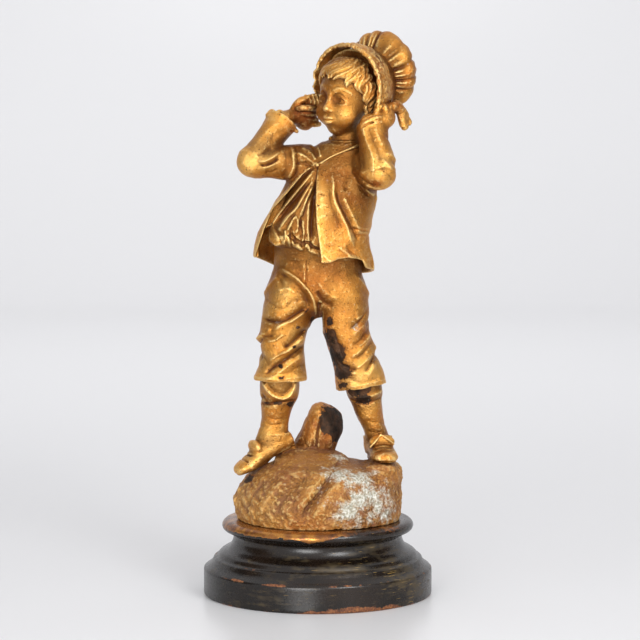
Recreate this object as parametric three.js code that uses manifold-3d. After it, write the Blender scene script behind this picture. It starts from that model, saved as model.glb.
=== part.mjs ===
// A gilt zinc statuette of a boy who holds a pleated bonnet over his head, on a turned wooden socle.
// Millimetres, +Z up, origin at the centre of the socle's underside. The boy's chest faces -Y, and
// +X is on the left hand of the boy, which is the right hand of whoever looks at the front.

import * as THREE from 'three';
import { mergeVertices } from 'three/addons/utils/BufferGeometryUtils.js';
import Module from 'manifold-3d';

const wasm = await Module();
wasm.setup();

const { clamp, degToRad, smoothstep } = THREE.MathUtils;

// Driving sizes
const SOCLE_HEIGHT = 56;
const SOCLE_SIDES = 32;
const FIGURE_FACES = 8700;
const SEAT_GAP = 0.3;
const MOUND_FOOT = SOCLE_HEIGHT + SEAT_GAP;
const JACKET_THICKNESS = 3;
const LINING_TOP = 274;

// The head turns to the boy's right and leans a little to his left.
const HEAD_CENTRE = [21.5, 0, 370];
const HEAD_TURN = -40;
const HEAD_LEAN = 7;

// The bonnet's own frame: its axis runs back from the middle of the brim's front edge.
const BONNET_MOUTH = [20.8, 2, 377];
const BONNET_RISE = 6;
const BRIM_RADIUS = 31.5;
const BRIM_DEPTH = 18;
const BRIM_THICKNESS = 2.4;
const CROWN_RADIUS = 30;
const CROWN_HALF_DEPTH = 15;
const CROWN_PLEATS = 18;

// Thinning: how much short edges are preferred, and what makes a face too thin, small or turned.
const SHORT_EDGE_WEIGHT = 0.002;
const THINNEST_FACE = 0.06;
const SMALL_FACE = 0.05;
const MOST_TURN = 0.3;
const MOST_ROUNDS = 60;
const SHARE_PER_ROUND = 0.08;

// Views from which carved strokes are laid on: the outward direction, and the axis that runs across.
const VIEWS = {
  front: { out: new THREE.Vector3(0, -1, 0), across: 'x' },
  back: { out: new THREE.Vector3(0, 1, 0), across: 'x' },
  left: { out: new THREE.Vector3(-1, 0, 0), across: 'y' },
  right: { out: new THREE.Vector3(1, 0, 0), across: 'y' },
};

// Solids

// A closed three.js geometry as a solid that can be joined and cut.
function solid(geometry) {
  const bare = geometry.clone();
  bare.deleteAttribute('normal');
  bare.deleteAttribute('uv');
  const merged = mergeVertices(bare, 1e-4);
  return new wasm.Manifold(new wasm.Mesh({
    numProp: 3,
    vertProperties: merged.attributes.position.array,
    triVerts: new Uint32Array(merged.index.array),
  }));
}

// For each point, the faces that meet at it.
function facesAround(points, faces) {
  const around = points.map(() => []);
  faces.forEach((face, i) => face.forEach((vertex) => around[vertex].push(i)));
  return around;
}

// The outer shell of a solid as points and the faces between them, without the closed pockets that
// forms leave between them where they are joined.
function outerShell(joined) {
  const { numProp, vertProperties, triVerts } = joined.getMesh();
  const points = [];
  for (let i = 0; i < vertProperties.length; i += numProp) {
    points.push(new THREE.Vector3().fromArray(vertProperties, i));
  }
  const faces = [];
  for (let i = 0; i < triVerts.length; i += 3) faces.push([...triVerts.slice(i, i + 3)]);
  const around = facesAround(points, faces);
  const shellOf = new Array(faces.length).fill(-1);
  const sizes = [];
  faces.forEach((start, first) => {
    if (shellOf[first] >= 0) return;
    const shell = sizes.push(0) - 1;
    const reached = [first];
    while (reached.length > 0) {
      const i = reached.pop();
      if (shellOf[i] >= 0) continue;
      shellOf[i] = shell;
      sizes[shell] += 1;
      faces[i].forEach((a, k) => {
        const b = faces[i][(k + 1) % 3];
        reached.push(...around[a].filter((j) => faces[j].includes(b)));
      });
    }
  });
  const largest = sizes.indexOf(Math.max(...sizes));
  return { points, faces: faces.filter((face, i) => shellOf[i] === largest) };
}

function geometryOf({ points, faces }) {
  const corners = faces.flat().map((vertex) => points[vertex]);
  return mergeVertices(new THREE.BufferGeometry().setFromPoints(corners), 1e-3);
}

// Thinning: joined forms leave many small faces, and the ones that show least are merged away.

const normalOf = (a, b, c) => new THREE.Vector3().subVectors(b, a).cross(new THREE.Vector3().subVectors(c, a));

// How far a point is from the planes of some faces, as a sum of squares weighted by their areas.
const strayFrom = (planes, point) =>
  planes.reduce((sum, { normal, constant, area }) => sum + area * (normal.dot(point) + constant) ** 2, 0);

// Merges the two ends of each edge whose loss moves the surface least, none of them next to another.
function mergeEdges({ points, faces }, wanted) {
  const around = facesAround(points, faces);
  const planes = faces.map(([a, b, c]) => {
    const normal = normalOf(points[a], points[b], points[c]);
    const area = normal.length() / 2;
    normal.normalize();
    return { normal, area, constant: -normal.dot(points[a]) };
  });
  const edges = [];
  faces.forEach((face) => face.forEach((a, i) => {
    const b = face[(i + 1) % 3];
    if (a > b) return;
    const near = [...around[a], ...around[b]].map((j) => planes[j]);
    const middle = new THREE.Vector3().lerpVectors(points[a], points[b], 0.5);
    const costs = [points[a], points[b], middle].map((at) => ({ at, cost: strayFrom(near, at) }));
    const best = costs.reduce((x, y) => (y.cost < x.cost ? y : x));
    const length = points[a].distanceToSquared(points[b]);
    edges.push({ a, b, at: best.at, cost: best.cost + SHORT_EDGE_WEIGHT * length });
  }));
  edges.sort((x, y) => x.cost - y.cost);

  const busy = new Set();
  const gone = new Set();
  for (const { a, b, at } of edges) {
    if (gone.size >= wanted) break;
    const touched = [...new Set([...around[a], ...around[b]])];
    const corners = new Set(touched.flatMap((i) => faces[i]));
    if ([...corners].some((vertex) => busy.has(vertex))) continue;
    const ofA = new Set(around[a].flatMap((i) => faces[i]));
    const shared = new Set(around[b].flatMap((i) => faces[i]).filter((v) => ofA.has(v) && v !== a && v !== b));
    const lost = touched.filter((i) => faces[i].includes(a) && faces[i].includes(b));
    if (shared.size !== 2 || lost.length !== 2) continue;
    const sound = touched.every((i) => {
      if (lost.includes(i)) return true;
      const moved = faces[i].map((v) => (v === a || v === b ? at : points[v]));
      const normal = normalOf(...moved);
      const longest = Math.max(...moved.map((v, k) => v.distanceTo(moved[(k + 1) % 3])));
      return normal.length() > THINNEST_FACE * longest ** 2
        && (planes[i].area < SMALL_FACE || normal.normalize().dot(planes[i].normal) > MOST_TURN);
    });
    if (!sound) continue;
    points[a] = at.clone();
    around[b].forEach((i) => { faces[i] = faces[i].map((v) => (v === b ? a : v)); });
    lost.forEach((i) => gone.add(i));
    corners.forEach((vertex) => busy.add(vertex));
  }
  return { points, faces: faces.filter((face, i) => !gone.has(i)) };
}

function thinned(shell, count) {
  let rest = shell;
  for (let round = 0; round < MOST_ROUNDS && rest.faces.length > count; round++) {
    const excess = rest.faces.length - count;
    rest = mergeEdges(rest, Math.min(excess, rest.faces.length * SHARE_PER_ROUND));
  }
  return rest;
}

const join = (solids) => solids.reduce((whole, piece) => whole.add(piece));

// Moves every vertex of a geometry to where the function puts it.
function reshape(geometry, place) {
  const positions = geometry.attributes.position;
  const vertex = new THREE.Vector3();
  for (let i = 0; i < positions.count; i++) {
    vertex.fromBufferAttribute(positions, i);
    positions.setXYZ(i, ...place(vertex).toArray());
  }
  return geometry;
}

// Tables and frames

// The values of the rows [s, a, b, ...] at s, on a smooth curve through the rows.
function valuesAt(rows, s) {
  let next = 1;
  while (next < rows.length - 1 && s > rows[next][0]) next++;
  const here = rows[next - 1];
  const there = rows[next];
  const before = rows[next - 2] ?? here;
  const after = rows[next + 1] ?? there;
  const step = there[0] - here[0];
  const t = clamp((s - here[0]) / step, 0, 1);
  const leave = step / (there[0] - before[0]);
  const arrive = step / (after[0] - here[0]);
  return here.slice(1).map((value, column) => {
    const c = column + 1;
    const slopeOut = (there[c] - before[c]) * leave;
    const slopeIn = (after[c] - here[c]) * arrive;
    return value * (1 + 2 * t) * (1 - t) ** 2 + slopeOut * t * (1 - t) ** 2
      + there[c] * t * t * (3 - 2 * t) + slopeIn * t * t * (t - 1);
  });
}

// A frame at a point, with its Z along a direction and its X as near as it can be to another.
function frameAt(point, along, across = [1, 0, 0]) {
  const z = new THREE.Vector3(...along).normalize();
  const y = new THREE.Vector3().crossVectors(z, new THREE.Vector3(...across)).normalize();
  const x = new THREE.Vector3().crossVectors(y, z);
  return new THREE.Matrix4().makeBasis(x, y, z).setPosition(...point);
}

// The frame of the head, or of the bonnet, whose -Y is the way that it faces.
function turnedFrame(point, turn, lean, rise) {
  const angles = new THREE.Euler(degToRad(rise), degToRad(lean), degToRad(turn), 'ZXY');
  return new THREE.Matrix4().makeRotationFromEuler(angles).setPosition(...point);
}

const HEAD = turnedFrame(HEAD_CENTRE, HEAD_TURN, HEAD_LEAN, 0);
const BONNET = turnedFrame(BONNET_MOUTH, HEAD_TURN, 0, BONNET_RISE);

const inFrame = (frame, point) => new THREE.Vector3(...point).applyMatrix4(frame).toArray();

// Carved relief

// How far a point is from a line of [across, height] points, as seen from one side.
function distanceToLine(line, u, v) {
  let nearest = Infinity;
  for (let i = 1; i < line.length; i++) {
    const [au, av] = line[i - 1];
    const [bu, bv] = [line[i][0] - au, line[i][1] - av];
    const t = clamp(((u - au) * bu + (v - av) * bv) / (bu * bu + bv * bv), 0, 1);
    nearest = Math.min(nearest, Math.hypot(u - au - t * bu, v - av - t * bv));
  }
  return nearest;
}

// A ridge, or a groove where rise is negative, along a line laid on from one side.
const stroke = (view, line, rise, width) => (point, outward) => {
  const { out, across } = VIEWS[view];
  const facing = smoothstep(outward.dot(out), 0.05, 0.5);
  if (facing === 0) return 0;
  const away = distanceToLine(line, point[across], point.z) / width;
  return rise * facing * Math.exp(-away * away);
};

const carved = (strokes) => (point, outward) =>
  strokes.reduce((sum, cut) => sum + cut(point, outward), 0);

const smooth = () => 0;

// Rock and earth: uneven lumps that repeat nowhere within the mound.
const lumpy = (rise, size) => (point) => rise * (
  Math.sin(point.x / size + 1.7 * Math.sin(point.z / size * 0.8))
  * Math.sin(point.y / size * 1.1 + 1.3 * Math.sin(point.x / size * 0.7))
  + 0.5 * Math.sin(point.z / size * 2.1 + point.x / size * 1.9)
);

// Basic forms

// A piece of oval section along a straight axis. Each row is [s, x, y, radius in x, radius in y].
function column(rows, { frame = new THREE.Matrix4(), sides = 20, rings = 10, relief = smooth } = {}) {
  const start = rows[0][0];
  const length = rows.at(-1)[0] - start;
  const geometry = new THREE.CylinderGeometry(1, 1, 1, sides, rings);
  const middle = new THREE.Vector3();
  const outward = new THREE.Vector3();
  return solid(reshape(geometry, (vertex) => {
    const s = start + length * (vertex.y + 0.5);
    const [x, y, radiusX, radiusY] = valuesAt(rows, s);
    middle.set(x, y, s).applyMatrix4(frame);
    const point = new THREE.Vector3(x + radiusX * vertex.x, y - radiusY * vertex.z, s).applyMatrix4(frame);
    if (Math.hypot(vertex.x, vertex.z) > 0.5) {
      outward.subVectors(point, middle).normalize();
      point.addScaledVector(outward, relief(point, outward));
    }
    return point;
  }));
}

// A column between two points with radii given as [share of the length, radius, radius across].
function limb(from, to, radii, options = {}) {
  const along = new THREE.Vector3(...to).sub(new THREE.Vector3(...from));
  const length = along.length();
  const rows = radii.map(([share, radius, across = radius]) => [share * length, 0, 0, radius, across]);
  return column(rows, { frame: frameAt(from, along.toArray(), options.across), ...options });
}

// An ellipsoid with its radii along the axes of a frame.
function ball(at, radii, { frame = new THREE.Matrix4(), sides = 12, rings = 8 } = {}) {
  return solid(new THREE.SphereGeometry(1, sides, rings)
    .rotateX(Math.PI / 2)
    .scale(...radii)
    .translate(...at)
    .applyMatrix4(frame));
}

// A tapered strand along a smooth curve: a lock of hair, a finger, a ribbon or a rolled edge.
function strand(points, radii, { frame = new THREE.Matrix4(), sides = 6, steps = 2 * points.length - 2 } = {}) {
  const curve = new THREE.CatmullRomCurve3(points.map((p) => new THREE.Vector3(...p)));
  const table = radii.map((radius, i) => [i / (radii.length - 1), radius]);
  const { binormals, normals } = curve.computeFrenetFrames(steps, false);
  return solid(reshape(new THREE.CylinderGeometry(1, 1, 1, sides, steps), (vertex) => {
    const step = Math.round((vertex.y + 0.5) * steps);
    const [radius] = valuesAt(table, step / steps);
    return curve.getPointAt(step / steps)
      .addScaledVector(normals[step], radius * vertex.z)
      .addScaledVector(binormals[step], radius * vertex.x)
      .applyMatrix4(frame);
  }));
}

// A block that a piece is cut with.
const block = (size, at, turn = [0, 0, 0], frame = new THREE.Matrix4()) => solid(
  new THREE.BoxGeometry(...size)
    .applyMatrix4(new THREE.Matrix4().makeRotationFromEuler(new THREE.Euler(...turn.map(degToRad))))
    .translate(...at)
    .applyMatrix4(frame),
);

// Ground

const MOUND_ROWS = [
  [MOUND_FOOT, 1, -1, 60, 58], [62, 0.5, -1, 62, 60], [72, 0.5, -1, 62.5, 60], [83, 3, -1, 59, 56],
  [92, 5.5, -1, 53, 49], [97, 0, -2, 38, 42], [101, -6, 2, 27, 32], [105, -9, 5, 19, 22],
  [108.5, -10, 7, 11, 12],
];

// The ledge that carries the left shoe.
const LEDGE_ROWS = [
  [78, 44, -4, 17, 30], [86, 44.6, -4, 18, 33], [91, 45, -4, 18.2, 32.5], [95, 45.6, -4, 16.6, 30.5],
  [97.8, 46, -4, 13.5, 26], [99, 46, -4, 8, 16],
];

function mound() {
  const split = stroke('front', [[12, 104], [2, 92], [-8, 76], [-10, 66]], -3.5, 4);
  const lobe = stroke('front', [[-6, 102], [-18, 94], [-32, 84], [-38, 70]], 2, 5);
  const rough = lumpy(1.3, 5.5);
  const earth = column(MOUND_ROWS, {
    sides: 36, rings: 11,
    relief: (point, outward) => split(point, outward) + lobe(point, outward)
      + rough(point) * smoothstep(point.z, MOUND_FOOT, MOUND_FOOT + 6),
  });
  return earth.add(column(LEDGE_ROWS, { sides: 24, rings: 7 }));
}

const STUMP_FOOT = [-7, 13, 96];
const STUMP_HEAD = [11, 9, 135];

function stump() {
  const radii = [[0, 17, 15], [0.25, 14.5, 13.5], [0.6, 13.5, 13], [1, 13, 12.5]];
  const log = limb(STUMP_FOOT, STUMP_HEAD, radii, { sides: 14, rings: 5, relief: lumpy(0.8, 4) });
  // The saw cut leans back from the boy's left, so that its face shows from the front.
  return log.subtract(block([60, 90, 60], [40, -8, 134], [0, -28, -32]));
}

// Shoes and stockings

// Rows along a shoe from heel to toe: [distance, height of the middle, half width, half height].
const SHOE_ROWS = [
  [-1.2, 11.2, 4, 3.6], [0.6, 10.8, 7.4, 5.6], [4, 10.6, 9.4, 6.4], [13, 10.2, 10.4, 7.4], [21, 9.4, 9.8, 8.4],
  [28, 8.2, 9.2, 8.8], [34, 6.4, 9.6, 7.6], [40, 5, 10.2, 6.2], [46, 4.6, 9.4, 4.8], [50, 4.2, 6.6, 3.8],
  [51.8, 4, 3, 2.4],
];
const HEEL_SIZE = [13, 12.4, 6.6];
const HEEL_PLACE = [0, -6.2, 3];
const TONGUE_PLACE = [0, -31.4, 15.4];
const TONGUE_RADII = [10.4, 4.8, 6.4];

// A shoe whose toe points along -Y of its frame, with the heel's lower back edge at the frame's
// origin. Its tongue stands up in a roll over the instep.
function shoe(frame) {
  const lying = frame.clone().multiply(new THREE.Matrix4().makeRotationX(Math.PI / 2));
  const rows = SHOE_ROWS.map(([s, height, wide, tall]) => [s, 0, height, wide, tall]);
  const sole = block([40, 120, 20], [0, -20, -10], [0, 0, 0], frame);
  return join([
    column(rows, { frame: lying, sides: 16, rings: 12 }).subtract(sole),
    block(HEEL_SIZE, HEEL_PLACE, [0, 0, 0], frame),
    ball(TONGUE_PLACE, TONGUE_RADII, { frame, sides: 12, rings: 8 }),
  ]);
}

const RIGHT_SHOE = frameAt([-15.1, 5, 108.1], [-0.346, -0.138, 0.929], [0.37, -0.93, 0]);
const LEFT_SHOE = frameAt([43.6, 26, 97.4], [0, 0.05, 1], [0.99, 0.14, 0]);

const RIGHT_STOCKING = [
  [112, -32, -3, 10.5, 8.6], [123, -32.6, -3, 10.4, 9.6], [131, -31.6, -2.5, 10.3, 11],
  [141, -30.2, -2, 12.2, 14], [148, -28.6, -3, 14.2, 15], [155, -28.2, -4.6, 14.6, 14.6], [168, -28, -6, 14.6, 14],
];
const LEFT_STOCKING = [
  [106, 45.5, 12, 8.4, 9.4], [115, 44.6, 11.5, 8.8, 10], [122.5, 42.4, 10.5, 8.8, 10],
  [131, 39.2, 9.5, 10, 11.4], [141, 36.8, 8, 11.4, 13], [149.7, 34.8, 5.5, 13.4, 14], [168, 33, 2, 14, 14],
];

function stockings() {
  const kneeFold = stroke('front', [[-40, 158], [-33, 149], [-24, 147], [-16, 156]], 1.6, 2.2);
  const ankleFold = stroke('front', [[-42, 142], [-30, 143.5], [-20, 146]], -1.4, 2);
  const calfFold = stroke('front', [[26, 146], [36, 142], [46, 146]], -1.4, 2.2);
  return join([
    column(RIGHT_STOCKING, { sides: 14, rings: 9, relief: carved([kneeFold, ankleFold]) }),
    column(LEFT_STOCKING, { sides: 14, rings: 8, relief: calfFold }),
  ]);
}

// Breeches

const RIGHT_LEG = [
  [162, -27.6, -7, 20.2, 18.5], [166, -27.3, -7, 19, 17.8], [172.5, -26.6, -6.5, 17.2, 17.4],
  [183, -26.4, -6.5, 16.4, 17.4], [189, -26.6, -6, 17.2, 18], [196, -25.2, -4.6, 17.4, 18.6],
  [206, -22.4, -2.6, 19.2, 20], [216, -20.4, -0.6, 19.8, 21.4], [230, -17, 1, 19.2, 21.8], [244, -14, 1, 16, 18],
];
const LEFT_LEG = [
  [148, 32.6, 1, 18.6, 18.6], [157, 32, 0, 18.8, 18.4], [167, 30.4, -1.5, 18.4, 17.8],
  [178, 27, -2.6, 17.2, 17.4], [186, 24.2, -2.6, 17.2, 17.6], [196, 21, -2, 17.6, 18.6],
  [206, 19.2, -0.6, 19, 19.8], [216, 18.4, 0.8, 19.6, 21],
  [230, 17, 1.6, 18, 21.6], [244, 15.5, 1, 16, 18],
];
const HIPS = [
  [207, -1, 0, 5, 8], [213, -1.2, 1, 20, 17], [219, -1.2, 2, 33, 21.5], [226, -1.2, 2.6, 36, 24],
  [236, -1, 2.8, 33.8, 24.8], [246, 0.6, 2, 32.6, 23.6], [258, 2, 0.5, 33, 21.6], [268, 2, 0, 31, 20.5],
];

const RIGHT_LEG_FOLDS = [
  stroke('front', [[-38, 206], [-27, 205.5], [-20, 209.5], [-9, 215]], -2, 2.4),
  stroke('front', [[-30, 200], [-18, 205], [-8, 211]], 1.6, 2.6),
  stroke('front', [[-23, 187.7], [-15.7, 192.4], [-9, 198.3]], -1.8, 2.2),
  stroke('front', [[-36, 169], [-24.9, 176.5], [-12, 185]], -2, 2.4),
  stroke('front', [[-38, 164], [-24, 171], [-10, 178]], 1.5, 2.6),
  stroke('front', [[-46, 198], [-36, 194.6], [-30, 195]], -1.8, 2.2),
  stroke('left', [[-16, 196], [0, 190], [12, 196]], 2, 2.8),
  stroke('left', [[-14, 176], [2, 182], [12, 178]], -1.6, 2.6),
  stroke('back', [[-42, 196], [-26, 189], [-12, 195]], -2.2, 2.8),
  stroke('back', [[-42, 186], [-26, 180], [-12, 186]], 1.6, 2.8),
];
const LEFT_LEG_FOLDS = [
  stroke('front', [[26, 201], [33, 206], [38, 213]], -2, 2.4),
  stroke('front', [[30, 197], [40, 206]], 1.4, 2.4),
  stroke('front', [[28, 181], [34, 186], [39, 192]], 1.6, 2.6),
  stroke('front', [[36, 170], [41, 177], [43, 184]], -1.8, 2.4),
  stroke('front', [[16, 176], [20, 171], [27, 170]], -1.5, 2.4),
  stroke('right', [[-14, 178], [0, 184], [14, 180]], 1.8, 2.8),
  stroke('back', [[12, 194], [24, 188], [36, 194]], -2.2, 2.8),
  stroke('back', [[16, 184], [28, 178], [40, 184]], 1.6, 2.8),
];
const HIP_FOLDS = [
  stroke('front', [[-23.5, 242.4], [-15, 237.2], [-5.1, 226], [-1.8, 214]], 1.8, 2.6),
  stroke('front', [[-25, 238], [-16, 231], [-8, 222], [-4, 212]], -1.8, 2.4),
  stroke('front', [[0.2, 226], [4.1, 220.7], [9, 217]], -1.6, 2.4),
  stroke('back', [[0, 258], [0, 214]], -2.4, 3),
];

function breeches() {
  // The left hem climbs towards the outside of the knee.
  const slantedHem = block([70, 70, 20], [34, 0, 145.2], [0, -9, 0]);
  return join([
    column(RIGHT_LEG, { sides: 20, rings: 15, relief: carved([...RIGHT_LEG_FOLDS, ...HIP_FOLDS]) }),
    column(LEFT_LEG, { sides: 20, rings: 16, relief: carved([...LEFT_LEG_FOLDS, ...HIP_FOLDS]) })
      .subtract(slantedHem),
    column(HIPS, { sides: 24, rings: 7, relief: carved(HIP_FOLDS) }),
  ]);
}

// Shirt and jacket

const TORSO = [
  [250, 1, -1, 31, 21], [262, -1, -2.4, 31, 22], [276, 1, -2.4, 31, 21], [290, 5, -0.8, 31, 20.5],
  [304, 9, 1, 30, 20.5], [316, 11, 2.6, 28, 19], [326, 12.5, 3.6, 25, 16.5], [333, 17, 4, 18, 13],
  [338, 20, 4, 13, 12],
];
const SHIRT_COLLAR = [1, 321];
// The shirt hangs out over the waistband between the jacket's fronts.
const SHIRT_PUFF = [
  [258, -17, -8, 10, 11], [260.5, -18, -9, 15, 14], [266, -19, -9.5, 17.5, 15.8],
  [275, -18, -8.5, 16.5, 15.2], [288, -13, -7, 12, 14], [302, -6, -6, 7, 12],
];

// Folds that fan out from the collar to the shirt's hem.
const SHIRT_FOLDS = [
  stroke('front', [SHIRT_COLLAR, [-7.4, 311.4], [-16.6, 300.3], [-25.1, 289.8], [-33, 272]], 2.2, 2),
  stroke('front', [[-4, 311], [-10.7, 298.3], [-16.6, 287.9], [-28.4, 271]], 2.2, 2.2),
  stroke('front', [[-2, 308], [-7.4, 299], [-13.3, 288], [-19, 272]], 1.8, 2),
  stroke('front', [[0, 312], [-3.5, 303], [-8.1, 290], [-10, 266]], 1.8, 2),
  stroke('front', [[0, 312], [-2.5, 296], [-3.5, 280], [-2, 264]], -2.4, 2),
];

function shirt() {
  const relief = carved(SHIRT_FOLDS);
  const puff = column(SHIRT_PUFF, { sides: 36, rings: 10, relief });
  return column(TORSO, { sides: 32, rings: 14, relief }).add(puff);
}

const JACKET = [
  [234, -2.4, 1.6, 44, 30.4], [243, -2.8, 1, 44.6, 29.6], [250, -3.4, 0, 44.6, 28.4],
  [262, -4, -1.8, 42.6, 26.4], [275, -1.8, -2.2, 40.4, 25], [290, 4, -0.6, 37.8, 24.6],
  [304, 9.6, 1.6, 34.6, 24], [318, 11.4, 3.4, 30.6, 21.4], [327, 13, 4.4, 25.4, 18],
  [334, 17, 4.4, 18.6, 14.8], [337, 18.5, 4.4, 15.5, 13.4],
];
// The right front hangs open at the boy's side; the left front lies over the shirt.
const JACKET_OPENING = [
  [0.5, 321], [-16, 302], [-30, 289], [-38, 274], [-43.5, 256], [-46, 236], [3, 236], [2.6, 255],
  [-0.9, 277], [-1.6, 293], [-0.9, 310],
];
const JACKET_FOLDS = [
  stroke('front', [[11.5, 307], [12.1, 297.2], [17.3, 284.8], [22, 275], [27, 262]], 2.2, 2.4),
  stroke('front', [[14.8, 300], [20.6, 284.8], [28, 268]], -1.8, 2.2),
  stroke('front', [[18, 300], [25, 286], [32, 272]], 1.4, 2.4),
  stroke('front', [[34, 309], [43, 301]], -1.8, 2.4),
  stroke('front', [[-20, 332], [-14, 324], [-8, 318]], 1.4, 2.4),
  stroke('back', [[8, 328], [4, 300], [-2, 270]], -1.4, 2.4),
  stroke('back', [[-24, 318], [-14, 296], [-12, 268]], 1.8, 3),
  stroke('back', [[38, 316], [28, 296], [24, 266]], 1.8, 3),
  stroke('back', [[-30, 292], [-26, 270], [-28, 250]], -1.6, 3),
  stroke('back', [[36, 290], [34, 270], [34, 250]], -1.6, 3),
];

function jacket() {
  const lining = [JACKET[0][0], 243, 250, 262, LINING_TOP].map((z) => {
    const [x, y, radiusX, radiusY] = valuesAt(JACKET, z);
    return [z, x, y, radiusX - JACKET_THICKNESS, radiusY - JACKET_THICKNESS];
  });
  lining[0][0] -= 1;
  const front = new THREE.Shape(JACKET_OPENING.map(([x, z]) => new THREE.Vector2(x, z)));
  const opening = new THREE.ExtrudeGeometry(front, { depth: 60, bevelEnabled: false }).rotateX(Math.PI / 2);
  // The hem is higher in front than behind, and a little higher on the right side.
  const slantedHem = block([140, 120, 20], [0, 0, 233.3], [-11.5, 3, 0]);
  const raisedCorner = block([60, 120, 20], [-37.7, 0, 235.2], [0, 28, 0]);
  return column(JACKET, { sides: 40, rings: 16, relief: carved(JACKET_FOLDS) })
    .subtract(column(lining, { sides: 32, rings: 4 }))
    .subtract(solid(opening))
    .subtract(slantedHem)
    .subtract(raisedCorner);
}

function collar() {
  return join([
    strand([[1, -17, 321], [10, -17.5, 327], [20, -14, 331], [30, -8, 335], [34, 2, 337]], [2, 2.2, 2.2, 2.2, 2]),
    strand([[1, -17, 321], [-1, -13, 329], [3, -4, 336], [10, 4, 339]], [2, 2.2, 2.4, 2]),
    strand([[10, 4, 339], [14, 13, 338], [22, 15.5, 338], [30, 11, 338], [34, 2, 337]], [2.4, 2.8, 3, 2.8, 2.2]),
  ]);
}

// Arms

const RIGHT_SHOULDER = [-4, 4, 321];
const RIGHT_ELBOW = [-47, -10, 322.5];
const RIGHT_WRIST = [-26, 6, 352.5];
const LEFT_SHOULDER = [29, 3, 320];
const LEFT_ELBOW = [44.5, -22, 314.5];
const LEFT_WRIST = [39.6, -11, 350];

function sleeves() {
  const rightFolds = carved([
    stroke('front', [[-20, 334], [-19, 322], [-24, 309]], 1.6, 2.2),
    stroke('front', [[-29, 329], [-30, 322], [-34, 316]], -1.6, 2.2),
    stroke('front', [[-43, 324], [-36, 319], [-33, 316]], 1.6, 2.2),
    stroke('front', [[-40, 331], [-34, 338], [-24, 347]], 1.2, 2.6),
    stroke('back', [[-24, 332], [-26, 320], [-24, 310]], -1.6, 2.6),
    stroke('back', [[-50, 330], [-42, 324], [-34, 326]], 1.6, 2.6),
  ]);
  const leftFolds = carved([
    stroke('front', [[33, 346], [41, 336], [44, 322], [43, 308]], 2, 2.2),
    stroke('front', [[31, 344], [37, 334], [40, 320], [40, 308]], -1.8, 2.2),
    stroke('front', [[31, 311], [38, 307], [45, 304]], -1.4, 2.2),
    stroke('back', [[36, 330], [46, 322], [54, 316]], -1.6, 2.6),
  ]);
  const right = { rings: 9, sides: 16, relief: rightFolds };
  const left = { rings: 9, sides: 16, relief: leftFolds };
  return join([
    limb(RIGHT_SHOULDER, RIGHT_ELBOW, [[0, 15, 14], [0.35, 13.6], [0.7, 11.8], [1, 12]], right),
    ball(RIGHT_ELBOW, [12.6, 12.2, 12]),
    limb(RIGHT_ELBOW, RIGHT_WRIST, [[0, 12.2], [0.35, 10.6], [0.7, 10.8], [1, 12.2, 11.4]], right),
    limb(LEFT_SHOULDER, LEFT_ELBOW, [[0, 14.5, 14], [0.5, 13.6], [1, 13]], left),
    ball(LEFT_ELBOW, [13, 12.4, 12.6]),
    limb(LEFT_ELBOW, LEFT_WRIST, [[0, 13.2], [0.3, 12.8], [0.65, 10.6], [1, 10, 9.6]], left),
  ]);
}

// Hands: a wrist, a palm and fingers that bend round what they hold.
function rightHand() {
  const knuckles = [[-15, 6, 361], [-15.5, 8.5, 357], [-14.5, 11, 353], [-12.5, 13.5, 349.5]];
  return join([
    limb(RIGHT_WRIST, [-14, 12, 357], [[0, 7], [0.6, 5.8], [1, 6.5]], { sides: 10, rings: 3 }),
    ball([-9.5, 14.5, 355.5], [8.6, 8.5, 10.5], { sides: 10, rings: 7 }),
    ...knuckles.map(([x, y, z]) => strand(
      [[x + 1, y + 2, z], [x + 4, y - 2, z + 0.6], [x + 10, y - 1, z + 0.4], [x + 13.5, y + 3, z]],
      [2.4, 2.7, 2.5, 2],
    )),
    strand([[-17, 10, 360], [-13, 8, 366], [-7, 9, 369]], [2.8, 2.8, 2.2]),
  ]);
}

function leftHand() {
  const fingers = [0, 1, 2, 3].map((i) => strand([
    [50 + 1.5 * i, -12 + 3.4 * i, 355], [51 + 1.6 * i, -13 + 3.8 * i, 362],
    [49 + 1.8 * i, -10 + 3.8 * i, 369], [45 + 2 * i, -8 + 3.8 * i, 370],
  ], [2.8, 2.8, 2.4, 2]));
  return join([
    limb(LEFT_WRIST, [47, -9, 354], [[0, 7.4], [1, 7.4]], { sides: 10, rings: 2 }),
    ball([50, -7, 353.5], [8.4, 7.4, 9], { sides: 12, rings: 8 }),
    strand([[44, -13, 352], [41, -14.5, 358], [42, -13, 364]], [3, 2.8, 2.2]),
    ...fingers,
  ]);
}

function cuffs() {
  return join([
    strand([[-37, 4, 356.5], [-33, -1, 354.5], [-24, -1.5, 350], [-15.5, 3, 344.5]], [1.5, 1.9, 1.9, 1.5]),
    strand([[-37, 4, 356.5], [-31, 8, 358.5], [-25, 10, 356]], [1.5, 2.6, 2]),
    strand([[30.5, -15, 347], [35, -20.5, 351], [42, -19.5, 354.5], [47, -14, 354]], [1.5, 2, 2, 1.5]),
    strand([[30.5, -15, 347], [35, -16, 354.5], [43, -15, 356]], [1.6, 2.4, 1.8]),
  ]);
}

// Head

// The head's form in its own frame: ellipsoids as [middle, radii], which blend where they meet.
const SKULL = [
  [[0, 3, 6], [20, 23, 21]],
  [[0, -5, -8], [16.2, 16, 18.5]],
  [[8.5, -11, -9.5], [8.5, 8.5, 8.5]],
  [[-8.5, -11, -9.5], [8.5, 8.5, 8.5]],
  [[0, -15, -23], [6.5, 5.5, 5]],
];
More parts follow.
